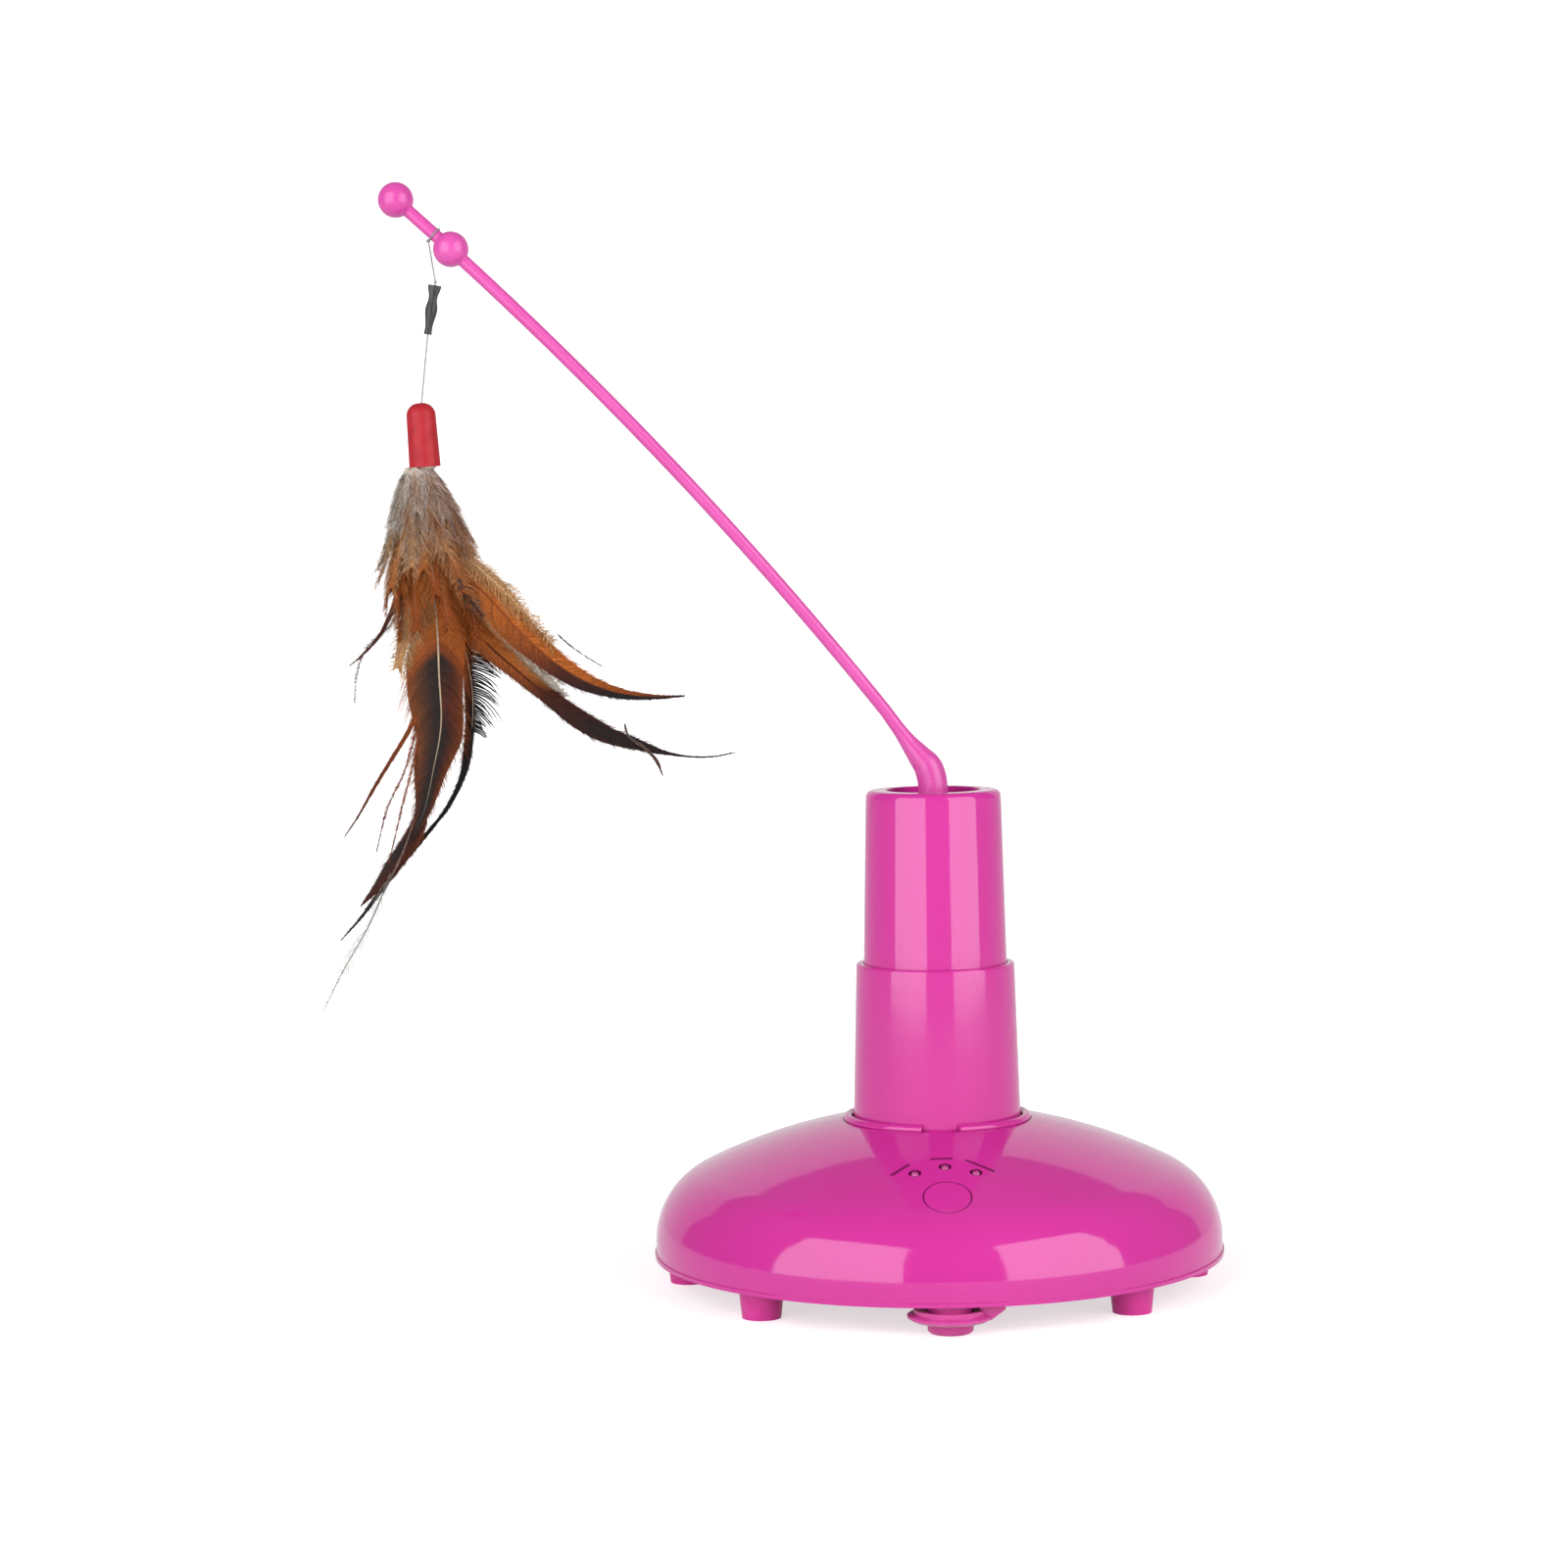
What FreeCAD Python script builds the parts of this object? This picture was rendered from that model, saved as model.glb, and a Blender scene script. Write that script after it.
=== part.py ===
import FreeCAD, Part

import math
import os
import re

import Sketcher
from FreeCAD import Placement, Rotation, Vector

# Rotating feather teaser for cats: a domed base that holds the batteries and the control board,
# a two-part tower with the motor and a three-stage gear train, and a turning wand that swings
# a bunch of feathers on a short line. Millimetres, Z up, origin on the floor under the tower.

document = FreeCAD.newDocument("feather_teaser")
sheet = document.addObject("Spreadsheet::Sheet", "Sizes")
sizes = []
pieces = []


def size(name, number):
    """One driving dimension: a named cell of the sheet that holds a plain number."""
    sizes.append(name)
    sheet.set("A%d" % len(sizes), name)
    sheet.set("B%d" % len(sizes), str(number))
    sheet.setAlias("B%d" % len(sizes), name)


def bound(text):
    """The expression with every size's name written as its cell in the sheet."""
    return re.sub("[a-z]+(_[a-z]+)*", lambda word: "Sizes." * (word.group() in sizes) + word.group(), text)


def value(text):
    """The number that an expression of sizes comes to."""
    return float(sheet.evalExpression(bound(text)))


# Base shell, heights above the floor
size("lip_radius", 105)
size("lip_height", 10.5)
size("lip_band", 1.4)
size("lip_step", 0.6)
size("shell_wall", 2.4)
size("shoulder_radius", 28.47)
size("shoulder_rise", 5.93)
size("crown_radius", 197.64)
size("collar_height", 58.9)
size("collar_width", 3.6)
size("recess_depth", 4.4)
size("cable_hole_radius", 7)
size("bead_radius", 1.6)
size("bead_gap", 24)

# Tower
size("tower_foot_radius", 31)
size("tower_step_radius", 29.1)
size("tower_step_height", 117.6)
size("tower_wall", 2.2)
size("tower_foot_flange", 6)
size("flange_thickness", 2.6)
size("socket_depth", 12)
size("socket_fit", 0.25)
size("ledge_width", 3)
size("joint_screw_circle", 21.6)
size("joint_screw_turn", 131.5)
size("upper_foot_radius", 26.35)
size("upper_top_radius", 24.8)
size("upper_wall", 2)
size("tower_height", 181.3)
size("top_plate", 2.4)
size("rim_round", 2.5)
size("step_round", 0.8)
size("mouth_radius", 17.3)
size("mouth_chamfer", 0.5)

# Clearances and fasteners
size("loose_fit", 0.3)
size("running_fit", 0.05)
size("seat_gap", 0.1)
size("screw_radius", 1.4)
size("screw_head_radius", 2.7)
size("screw_head_height", 2)
size("pilot_fit", 0.05)

# Bottom plate, feet and battery room
size("plate_height", 11)
size("plate_thickness", 2.2)
size("plate_rim_height", 4)
size("plate_rim_wall", 1.6)
size("foot_circle", 92.5)
size("foot_spacing", 45)
size("foot_top_radius", 8.1)
size("foot_bottom_radius", 6.95)
size("peg_radius", 3)
size("peg_head_radius", 3.7)
size("peg_head_height", 1)
size("front_foot_circle", 94.5)
size("pad_radius", 8)
size("dish_radius", 15)
size("dish_height", 4.5)
size("dish_thickness", 2.4)
size("dish_step", 2.2)
size("tab_reach", 18.8)
size("tab_width", 11)
size("housing_screw_circle", 87)
size("housing_screw_turn", 22.5)
size("boss_radius", 3.2)
size("boss_bottom", 13.3)
size("housing_screw_length", 14)
size("cell_radius", 7.2)
size("cell_length", 49.3)
size("cell_nub_radius", 2.75)
size("cell_nub_length", 1.2)
size("cell_pitch", 15)
size("cell_count", 3)
size("room_centre", 14)
size("room_wall", 3)
size("contact_reach", 4)
size("contact_plate", 0.5)
size("door_thickness", 2)
size("door_margin", 1.8)
size("door_strip", 8)

# Control board and button
size("board_top", 28.5)
size("board_thickness", 1.6)
size("board_length", 46)
size("board_width", 40)
size("board_centre", 67)
size("board_boss_across", 19.5)
size("board_boss_rear", 52)
size("board_boss_front", 82)
size("button_circle", 82.1)
size("button_radius", 8.2)
size("button_groove", 0.3)
size("button_flange", 1.3)
size("button_flange_bottom", 34.9)
size("button_flange_thickness", 1.4)
size("button_travel", 0.8)
size("button_stem_radius", 2)
size("switch_width", 6.2)
size("switch_height", 3.5)
size("plunger_radius", 1.7)
size("plunger_rise", 1.3)
size("light_radius", 1.5)
size("light_circle", 18.35)
size("light_spread", 35.9)
size("light_length", 5.3)
size("light_ring_radius", 2.15)
size("light_ring_depth", 0.8)

# Drive train
size("gearbox_top", 158)
size("gearbox_radius", 21.6)
size("gearbox_plate", 2.5)
size("gear_room", 20)
size("pillar_radius", 3)
size("pillar_circle", 20)
size("pillar_turn", 14)
size("module", 0.5)
size("output_teeth", 40)
size("wheel_teeth", 32)
size("pinion_teeth", 10)
size("tooth_depth", 0.62)
size("wheel_width", 3.2)
size("stage_rise", 4.2)
size("tooth_slack", 0.15)
size("pressure_angle", 20)
size("first_gear_circle", 13.5)
size("second_gear_turn", 140)
size("motor_circle", 8.5)
size("pin_radius", 0.75)
size("gear_boss_radius", 1.7)
size("output_boss_radius", 3.4)
size("shaft_radius", 2.5)
size("bush_radius", 4)
size("bush_flange_radius", 5.2)
size("bush_flange_height", 0.8)
size("motor_radius", 10)
size("motor_flat", 15.2)
size("motor_length", 20.3)
size("motor_cap_length", 4.7)
size("motor_boss_radius", 3)
size("motor_shaft_radius", 1)
size("tag_length", 3.5)
size("lead_radius", 0.6)
size("hub_top", 177)
size("hub_radius", 7.5)
size("hub_disc_radius", 14)
size("hub_disc_height", 2)
size("peg_socket_depth", 12)
size("wand_peg_radius", 4.5)
size("wand_peg_flat", 3.4)

# Wand: a root that leans over, a long bowed rod and two balls
size("root_radius", 5.4)
size("rod_radius", 2.4)
size("rod_start_across", 17)
size("rod_start_height", 210.3)
size("rod_lean", 38.03)
size("rod_turn", 9.85)
size("bow_radius", 1500)
size("ball_radius", 6.5)
size("ball_spacing", 26.7)
size("tie_spacing", 8)

# Line, sleeve, cap and feathers
size("line_radius", 0.3)
size("knot_radius", 0.75)
size("swing_knot_radius", 0.6)
size("swing_gap", 1.2)
size("sleeve_top_across", 178.9)
size("sleeve_top_height", 367.8)
size("sleeve_foot_across", 181.9)
size("sleeve_foot_height", 350.1)
size("cap_top_across", 185.2)
size("cap_top_height", 325.2)
size("cap_radius", 5.75)
size("cap_length", 23.2)
size("cap_round", 4.6)
size("cap_wall", 1.8)
size("cap_tilt", 3.2)
size("cap_hole_radius", 1)
size("stop_knot_radius", 1.3)
size("quill_depth", 13)
size("tuft_foot", 262)

document.recompute()

# Places that several pieces share, each worked out from the sizes above
WALL_RADIUS = "(lip_radius - lip_step)"
SHOULDER_HEIGHT = "(lip_height + shoulder_rise)"
SHOULDER_CENTRE = "(lip_radius - lip_step - shoulder_radius)"
CROWN_CENTRE = "(%s - sqrt((crown_radius - shoulder_radius)^2 - %s^2))" % (SHOULDER_HEIGHT, SHOULDER_CENTRE)
RECESS_RADIUS = "(tower_foot_radius + loose_fit)"
RECESS_FLOOR = "(collar_height - recess_depth)"
PLATE_TOP = "(plate_height + plate_thickness)"
SPIGOT_FOOT = "(tower_step_height - socket_depth)"
GEAR_FLOOR = "(gearbox_top - gearbox_plate - gear_room)"
GEAR_CEILING = "(gearbox_top - gearbox_plate)"
OUTPUT_RADIUS = "(module * output_teeth / 2)"
WHEEL_RADIUS = "(module * wheel_teeth / 2)"
PINION_RADIUS = "(module * pinion_teeth / 2)"


def crown(radius, inset="0"):
    """Height of the dome's round crown at a radius, inset below its outer face."""
    return "(%s + sqrt((crown_radius - %s)^2 - (%s)^2))" % (CROWN_CENTRE, inset, radius)


def shoulder_end(inset="0"):
    """Radius where the shoulder's arc runs into the crown, inset below the outer face."""
    return "(%s * (crown_radius - %s) / (crown_radius - shoulder_radius))" % (SHOULDER_CENTRE, inset)


def tie(item, **formulas):
    """Bind the properties of an item to the sheet; x, y and z place it, turn turns it about its axis."""
    short = {"x": "Placement.Base.x", "y": "Placement.Base.y", "z": "Placement.Base.z",
             "turn": "Placement.Rotation.Angle"}
    for name, text in formulas.items():
        item.setExpression(short.get(name, name), bound(text))
    return item


def along(item, axis):
    """Give an item the axis that its turn is about, before the turn is bound."""
    item.Placement = Placement(Vector(), Rotation(axis, 1))
    return item


def disc(name, radius, height, **place):
    """A round bar or disc that stands on its place."""
    return tie(document.addObject("Part::Cylinder", name), Radius=radius, Height=height, **place)


def taper(name, foot, top, height, **place):
    """A cone frustum that stands on its place."""
    return tie(document.addObject("Part::Cone", name), Radius1=foot, Radius2=top, Height=height, **place)


def block(name, length, width, height, x="0", y="0", z="0"):
    """A box whose foot is centred on its place."""
    return tie(document.addObject("Part::Box", name), Length=length, Width=width, Height=height,
               x="%s - (%s) / 2" % (x, length), y="%s - (%s) / 2" % (y, width), z=z)


def ball(name, radius, **place):
    """A whole sphere."""
    return tie(document.addObject("Part::Sphere", name), Radius=radius, **place)


def joined(name, items):
    """One item made of several."""
    fused = document.addObject("Part::MultiFuse", name)
    fused.Shapes = items
    return fused


def shared(name, first, second):
    """What two items have in common."""
    common = document.addObject("Part::Common", name)
    common.Base = first
    common.Tool = second
    return common


def cut(name, base, tools):
    """An item with the tools taken out of it."""
    result = document.addObject("Part::Cut", name)
    result.Base = base
    result.Tool = tools[0] if len(tools) == 1 else joined(name + "_tools", tools)
    return result


def keep(item, node):
    """Name a finished sub-part."""
    item.Label = node
    pieces.append(item)
    return item


def origin_plane(body, role):
    """The origin plane of a body that has a role."""
    return [feature for feature in body.Origin.OriginFeatures if feature.Role == role][0]


def outline(body, name, corners, arcs):
    """A closed outline on the XZ plane. Every corner is a pair of expressions. arcs gives the side that
    starts at a corner a radius, positive where the arc bulges to the left of the way round."""
    sketch = body.newObject("Sketcher::SketchObject", name)
    sketch.AttachmentSupport = (origin_plane(body, "XZ_Plane"), [""])
    sketch.MapMode = "FlatFace"
    points = [Vector(value(across), value(up), 0) for across, up in corners]
    for index, start in enumerate(points):
        end = points[(index + 1) % len(points)]
        if index not in arcs:
            sketch.addGeometry(Part.LineSegment(start, end), False)
            continue
        radius = value(arcs[index])
        half = (end - start) / 2
        left = Vector(-half.y, half.x, 0).normalize()
        rise = abs(radius) - math.sqrt(radius ** 2 - half.Length ** 2)
        middle = start + half + left * math.copysign(rise, radius)
        turn = (start, middle, end) if radius < 0 else (end, middle, start)
        sketch.addGeometry(Part.Arc(*turn), False)
    ends = []
    for index, start in enumerate(points):
        curve = sketch.Geometry[index]
        straight = index not in arcs
        first = 1 if straight or (curve.StartPoint - start).Length < 1e-6 else 2
        ends.append((first, 3 - first))
    for index in range(len(points)):
        other = (index + 1) % len(points)
        sketch.addConstraint(Sketcher.Constraint("Coincident", index, ends[index][1], other, ends[other][0]))
    for index, pair in enumerate(corners):
        for way, text, axis in (("DistanceX", pair[0], -2), ("DistanceY", pair[1], -1)):
            if text == "0":
                sketch.addConstraint(Sketcher.Constraint("PointOnObject", index, ends[index][0], axis))
                continue
            number = sketch.addConstraint(Sketcher.Constraint(way, -1, 1, index, ends[index][0], value(text)))
            sketch.setExpression("Constraints[%d]" % number, bound(text))
    for index, text in arcs.items():
        number = sketch.addConstraint(Sketcher.Constraint("Radius", index, abs(value(text))))
        sketch.setExpression("Constraints[%d]" % number, bound("abs(%s)" % text))
    return sketch


def turned(name, corners, arcs=None):
    """A body turned about the vertical axis from its outline."""
    body = document.addObject("PartDesign::Body", name)
    sketch = outline(body, name + "_outline", corners, arcs or {})
    revolution = body.newObject("PartDesign::Revolution", name + "_turned")
    revolution.Profile = sketch
    revolution.ReferenceAxis = (sketch, ["V_Axis"])
    revolution.Angle = 360
    return body


def screw(name, length, **place):
    """A pan-head screw that points up, with its head's underside at its place."""
    x = place["x"]
    y = place["y"]
    head = disc(name + "_head", "screw_head_radius", "screw_head_height", x=x, y=y,
                z="%s - screw_head_height" % place["z"])
    shank = disc(name + "_shank", "screw_radius", length, x=x, y=y, z=place["z"])
    return [head, shank]


def pilot(name, length, **place):
    """The hole that a screw cuts its thread in."""
    return disc(name, "screw_radius + pilot_fit", length, **place)


def polar(radius, angle):
    """Place at a radius and an angle about the tower's axis."""
    return {"x": "(%s) * cos(%s)" % (radius, angle), "y": "(%s) * sin(%s)" % (radius, angle)}


# Base dome: shoulder and crown arcs, a low collar round a recess for the tower, screw bosses, the
# button's hole and the lights' holes. Everything is drawn from the mould along the vertical.
COLLAR_RADIUS = "(tower_foot_radius + loose_fit + collar_width)"
NECK_RADIUS = "(tower_foot_radius + loose_fit + shell_wall)"

dome_shell = turned("dome_shell", [
    ("lip_radius", "lip_height"),
    ("lip_radius", "lip_height + lip_band"),
    (WALL_RADIUS, "lip_height + lip_band"),
    (WALL_RADIUS, SHOULDER_HEIGHT),
    (shoulder_end(), crown(shoulder_end())),
    (COLLAR_RADIUS, crown(COLLAR_RADIUS)),
    (COLLAR_RADIUS, "collar_height"),
    (RECESS_RADIUS, "collar_height"),
    (RECESS_RADIUS, RECESS_FLOOR),
    ("cable_hole_radius", RECESS_FLOOR),
    ("cable_hole_radius", RECESS_FLOOR + " - shell_wall"),
    (NECK_RADIUS, RECESS_FLOOR + " - shell_wall"),
    (NECK_RADIUS, crown(NECK_RADIUS, "shell_wall")),
    (shoulder_end("shell_wall"), crown(shoulder_end("shell_wall"), "shell_wall")),
    (WALL_RADIUS + " - shell_wall", SHOULDER_HEIGHT),
    (WALL_RADIUS + " - shell_wall", "lip_height"),
], {3: "-shoulder_radius", 4: "-crown_radius", 12: "(crown_radius - shell_wall)",
    13: "(shoulder_radius - shell_wall)"})
dome_envelope = turned("dome_envelope", [
    ("0", "lip_height"),
    (WALL_RADIUS, "lip_height"),
    (WALL_RADIUS, SHOULDER_HEIGHT),
    (shoulder_end(), crown(shoulder_end())),
    (COLLAR_RADIUS, crown(COLLAR_RADIUS)),
    ("0", crown(COLLAR_RADIUS)),
], {2: "-shoulder_radius", 3: "-crown_radius"})

HOUSING_TURNS = ["(housing_screw_turn + %d)" % turn for turn in (0, 90, 180, 270)]
BOARD_BOSSES = [("%s * board_boss_across" % side, "-board_boss_" + end)
                for side in ("-1", "1") for end in ("rear", "front")]
bosses = []
pilots = []
for count, turn in enumerate(HOUSING_TURNS):
    place = polar("housing_screw_circle", turn)
    bosses.append(disc("housing_boss_%d" % count, "boss_radius", "collar_height - boss_bottom",
                       z="boss_bottom", **place))
    pilots.append(pilot("housing_pilot_%d" % count, "housing_screw_length", z="boss_bottom - 1", **place))
for count, (across, away) in enumerate(BOARD_BOSSES):
    bosses.append(disc("board_boss_%d" % count, "boss_radius", "collar_height - board_top",
                       x=across, y=away, z="board_top"))
    pilots.append(pilot("board_pilot_%d" % count, "8", x=across, y=away, z="board_top - 1"))
dome_bosses = shared("dome_bosses", joined("boss_bars", bosses), dome_envelope)

LIGHTS = []
for turn in ("-light_spread", "0", "light_spread"):
    LIGHTS.append(("light_circle * sin(%s)" % turn, "(light_circle * cos(%s) - button_circle)" % turn))


def dome_over(across, away):
    """Height of the dome over a place."""
    return crown("sqrt((%s)^2 + (%s)^2)" % (across, away))


openings = [disc("button_hole", "button_radius + button_groove", "collar_height",
                 y="-button_circle", z="board_top")]
for count, (across, away) in enumerate(LIGHTS):
    openings.append(disc("light_hole_%d" % count, "light_radius + seat_gap", "collar_height",
                         x=across, y=away, z="board_top + 5"))
    openings.append(disc("light_ring_%d" % count, "light_ring_radius", "collar_height",
                         x=across, y=away, z=dome_over(across, away) + " - light_ring_depth"))
for count in range(3):
    openings.append(disc("tower_screw_hole_%d" % count, "screw_radius + loose_fit", "shell_wall + 2",
                         z=RECESS_FLOOR + " - shell_wall - 1",
                         **polar("tower_foot_radius - tower_foot_flange + 1.4", str(30 + 120 * count))))

# The collar's bead is a ring of round section with a gap at the front and another at the back
bead_arcs = []
for count, turn in enumerate((0, 180)):
    bead = document.addObject("Part::Torus", "bead_arc_%d" % count)
    along(bead, Vector(0, 0, 1))
    tie(bead, Radius1=RECESS_RADIUS + " + bead_radius", Radius2="bead_radius", Angle3="180 - bead_gap",
        z="collar_height + bead_radius - seat_gap", turn="%d - 90 + bead_gap / 2" % turn)
    bead_arcs.append(bead)
keep(cut("dome", joined("dome_with_bosses", [dome_shell, dome_bosses] + bead_arcs), openings + pilots),
     "base_dome")

# Lower tower: a tapered tube with a screw flange at its foot and a socket in its top
FOOT_TAPER = "((tower_foot_radius - tower_step_radius) / (tower_step_height - %s))" % RECESS_FLOOR


def lower_radius(height):
    """Outer radius of the lower tower at a height."""
    return "(tower_foot_radius - %s * (%s - %s))" % (FOOT_TAPER, height, RECESS_FLOOR)


SOCKET_RADIUS = "(upper_foot_radius + socket_fit)"
LEDGE_TOP = SPIGOT_FOOT
LEDGE_FOOT = "(%s - flange_thickness)" % SPIGOT_FOOT
lower_tube = turned("lower_tube", [
    ("tower_foot_radius", RECESS_FLOOR),
    (lower_radius("(tower_step_height - step_round)"), "tower_step_height - step_round"),
    ("tower_step_radius - step_round", "tower_step_height"),
    (SOCKET_RADIUS, "tower_step_height"),
    (SOCKET_RADIUS, LEDGE_TOP),
    (SOCKET_RADIUS + " - ledge_width", LEDGE_TOP),
    (SOCKET_RADIUS + " - ledge_width", LEDGE_FOOT),
    (lower_radius(LEDGE_FOOT) + " - tower_wall", LEDGE_FOOT),
    ("tower_foot_radius - tower_wall", RECESS_FLOOR + " + flange_thickness"),
    ("tower_foot_radius - tower_foot_flange", RECESS_FLOOR + " + flange_thickness"),
    ("tower_foot_radius - tower_foot_flange", RECESS_FLOOR),
], {1: "-step_round * 1.05"})
tower_bosses = []
tower_pilots = []
tower_screws = []
joint_bosses = []
joint_pilots = []
joint_screws = []
for count, turn in enumerate(("joint_screw_turn", "(joint_screw_turn + 180)")):
    place = polar("joint_screw_circle", turn)
    tower_bosses.append(disc("joint_ear_%d" % count, "boss_radius + 0.3", "flange_thickness", z=LEDGE_FOOT, **place))
    tower_pilots.append(disc("joint_hole_%d" % count, "screw_radius + seat_gap", "flange_thickness + 2",
                             z=LEDGE_FOOT + " - 1", **place))
    joint_bosses.append(disc("joint_boss_%d" % count, "boss_radius", "12", z=SPIGOT_FOOT + " + seat_gap", **place))
    joint_pilots.append(pilot("joint_pilot_%d" % count, "10", z=SPIGOT_FOOT, **place))
    joint_screws += screw("joint_screw_%d" % count, "flange_thickness + 8", z=LEDGE_FOOT, **place)
for count in range(3):
    place = polar("tower_foot_radius - tower_foot_flange + 1.4", str(30 + 120 * count))
    tower_bosses.append(disc("tower_boss_%d" % count, "boss_radius", "12", z=RECESS_FLOOR, **place))
    tower_pilots.append(pilot("tower_pilot_%d" % count, "10", z=RECESS_FLOOR + " - 1", **place))
    tower_screws += screw("tower_screw_%d" % count, "9", z=RECESS_FLOOR + " - shell_wall", **place)
keep(cut("lower_tower", joined("lower_with_bosses", [lower_tube] + tower_bosses), tower_pilots),
     "tower_lower")
keep(joined("tower_screw_set", tower_screws), "tower_screws")
keep(joined("joint_screw_set", joint_screws), "joint_screws")

# Upper tower: a slimmer tapered tube that stands in the socket, closed on top but for the wand's mouth
UPPER_TAPER = "((upper_foot_radius - upper_top_radius) / (tower_height - tower_step_height))"


def upper_radius(height):
    """Outer radius of the upper tower at a height."""
    return "(upper_foot_radius - %s * (%s - tower_step_height))" % (UPPER_TAPER, height)


upper_tube = turned("upper_tube", [
    ("upper_foot_radius", SPIGOT_FOOT + " + seat_gap"),
    ("upper_foot_radius", "tower_step_height"),
    (upper_radius("(tower_height - rim_round)"), "tower_height - rim_round"),
    ("upper_top_radius - rim_round", "tower_height"),
    ("mouth_radius + mouth_chamfer", "tower_height"),
    ("mouth_radius", "tower_height - mouth_chamfer"),
    ("mouth_radius", "tower_height - top_plate"),
    ("upper_top_radius - upper_wall", "tower_height - top_plate"),
    ("upper_foot_radius - upper_wall", "tower_step_height"),
    ("upper_foot_radius - upper_wall", SPIGOT_FOOT + " + seat_gap"),
], {2: "-rim_round * 1.02"})

# Gearbox frame: a base plate with three pillars and the motor's cradle, and a cover plate. Three long
# screws go up through both into posts under the tower's top.
PILLAR_TURNS = ("pillar_turn", "(pillar_turn + 181)", "(pillar_turn + 276)")
POST_LENGTH = "(tower_height - top_plate - gearbox_top)"
GEARBOX_FOOT = "(%s - gearbox_plate)" % GEAR_FLOOR
posts = []
post_pilots = []
pillars = []
frame_holes = []
cover_holes = []
gearbox_screws = []
for count, turn in enumerate(PILLAR_TURNS):
    place = polar("pillar_circle", turn)
    posts.append(disc("post_%d" % count, "pillar_radius", POST_LENGTH + " + top_plate / 2", z="gearbox_top",
                      **place))
    post_pilots.append(pilot("post_pilot_%d" % count, "9", z="gearbox_top - 1", **place))
    pillars.append(disc("pillar_%d" % count, "pillar_radius", "gear_room + gearbox_plate",
                        z=GEARBOX_FOOT, **place))
    frame_holes.append(disc("frame_hole_%d" % count, "screw_radius + seat_gap", "gear_room + gearbox_plate + 2",
                            z=GEARBOX_FOOT + " - 1", **place))
    cover_holes.append(disc("cover_hole_%d" % count, "screw_radius + seat_gap", "gearbox_plate + 2",
                            z=GEAR_CEILING + " - 1", **place))
    gearbox_screws += screw("gearbox_screw_%d" % count, "gear_room + 2 * gearbox_plate + 7",
                            z=GEARBOX_FOOT, **place)
keep(cut("upper_tower", joined("upper_with_posts", [upper_tube] + posts + joint_bosses), post_pilots + joint_pilots),
     "tower_upper")
keep(joined("gearbox_screw_set", gearbox_screws), "gearbox_screws")

# Gear centres: every pair of axes is as far apart as its two pitch radii, so each place follows from
# the one before by the rule of cosines
first_circle = value("first_gear_circle")
second_circle = value(OUTPUT_RADIUS + " + " + PINION_RADIUS)
mesh_distance = value(WHEEL_RADIUS + " + " + PINION_RADIUS)
motor_circle = value("motor_circle")


def corner_angle(near, far, opposite):
    """Angle in degrees between two sides of a triangle, from the length opposite to it."""
    return math.degrees(math.acos((near ** 2 + far ** 2 - opposite ** 2) / (2 * near * far)))


second_turn = value("second_gear_turn")
first_turn = second_turn - corner_angle(first_circle, second_circle, mesh_distance)
motor_turn = first_turn - corner_angle(first_circle, motor_circle, mesh_distance)


def centre(radius, turn):
    """Point in plan at a radius and an angle about the tower's axis."""
    return Vector(radius * math.cos(math.radians(turn)), radius * math.sin(math.radians(turn)), 0)


output_centre = Vector(0, 0, 0)
second_centre = centre(second_circle, second_turn)
first_centre = centre(first_circle, first_turn)
motor_centre = centre(motor_circle, motor_turn)


def tooth_half_angle(teeth, radius):
    """Half the angle that a tooth takes up at a radius, on an involute flank with some slack."""
    pressure = math.radians(value("pressure_angle"))
    pitch_radius = value("module") * teeth / 2
    base_radius = pitch_radius * math.cos(pressure)
    half = math.pi / (2 * teeth) - value("tooth_slack") / (4 * pitch_radius)
    half += math.tan(pressure) - pressure
    if radius > base_radius:
        slope = math.acos(base_radius / radius)
        half -= math.tan(slope) - slope
    return min(half, 0.8 * math.pi / teeth)


def gear_wheel(teeth, foot, height, middle, phase):
    """A spur gear: every tooth has three straight chords on each involute flank. phase is the angle
    in degrees of the middle of one tooth."""
    pitch_radius = value("module") * teeth / 2
    tip = pitch_radius + value("module")
    root = pitch_radius - value("tooth_depth")
    levels = [root, pitch_radius - 0.35 * value("tooth_depth"), pitch_radius + 0.45 * value("module"), tip]
    points = []
    for tooth in range(teeth):
        angle = math.radians(phase) + 2 * math.pi * tooth / teeth
        flank = [(radius, tooth_half_angle(teeth, radius)) for radius in levels]
        ring = [(radius, angle - half) for radius, half in flank]
        ring += [(radius, angle + half) for radius, half in reversed(flank)]
        points += [Vector(r * math.cos(a), r * math.sin(a), foot) + middle for r, a in ring]
    face = Part.Face(Part.makePolygon(points + points[:1]))
    return face.extrude(Vector(0, 0, height))


def mating_phase(near_phase, near_teeth, teeth, near_centre, middle):
    """Phase of a gear that meshes with its neighbour, so that a gap meets the neighbour's tooth."""
    toward = middle - near_centre
    direction = math.degrees(math.atan2(toward.y, toward.x))
    return direction + 180 + 180 / teeth - (near_phase - direction) * near_teeth / teeth


def bar(radius, foot, top, middle):
    """A plain round bar between two heights."""
    return Part.makeCylinder(radius, top - foot, middle + Vector(0, 0, foot))


def finished(node, shape):
    """A sub-part whose shape is worked out here because no feature makes it."""
    item = document.addObject("Part::Feature", node + "_form")
    item.Shape = shape
    return keep(item, node)


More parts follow.
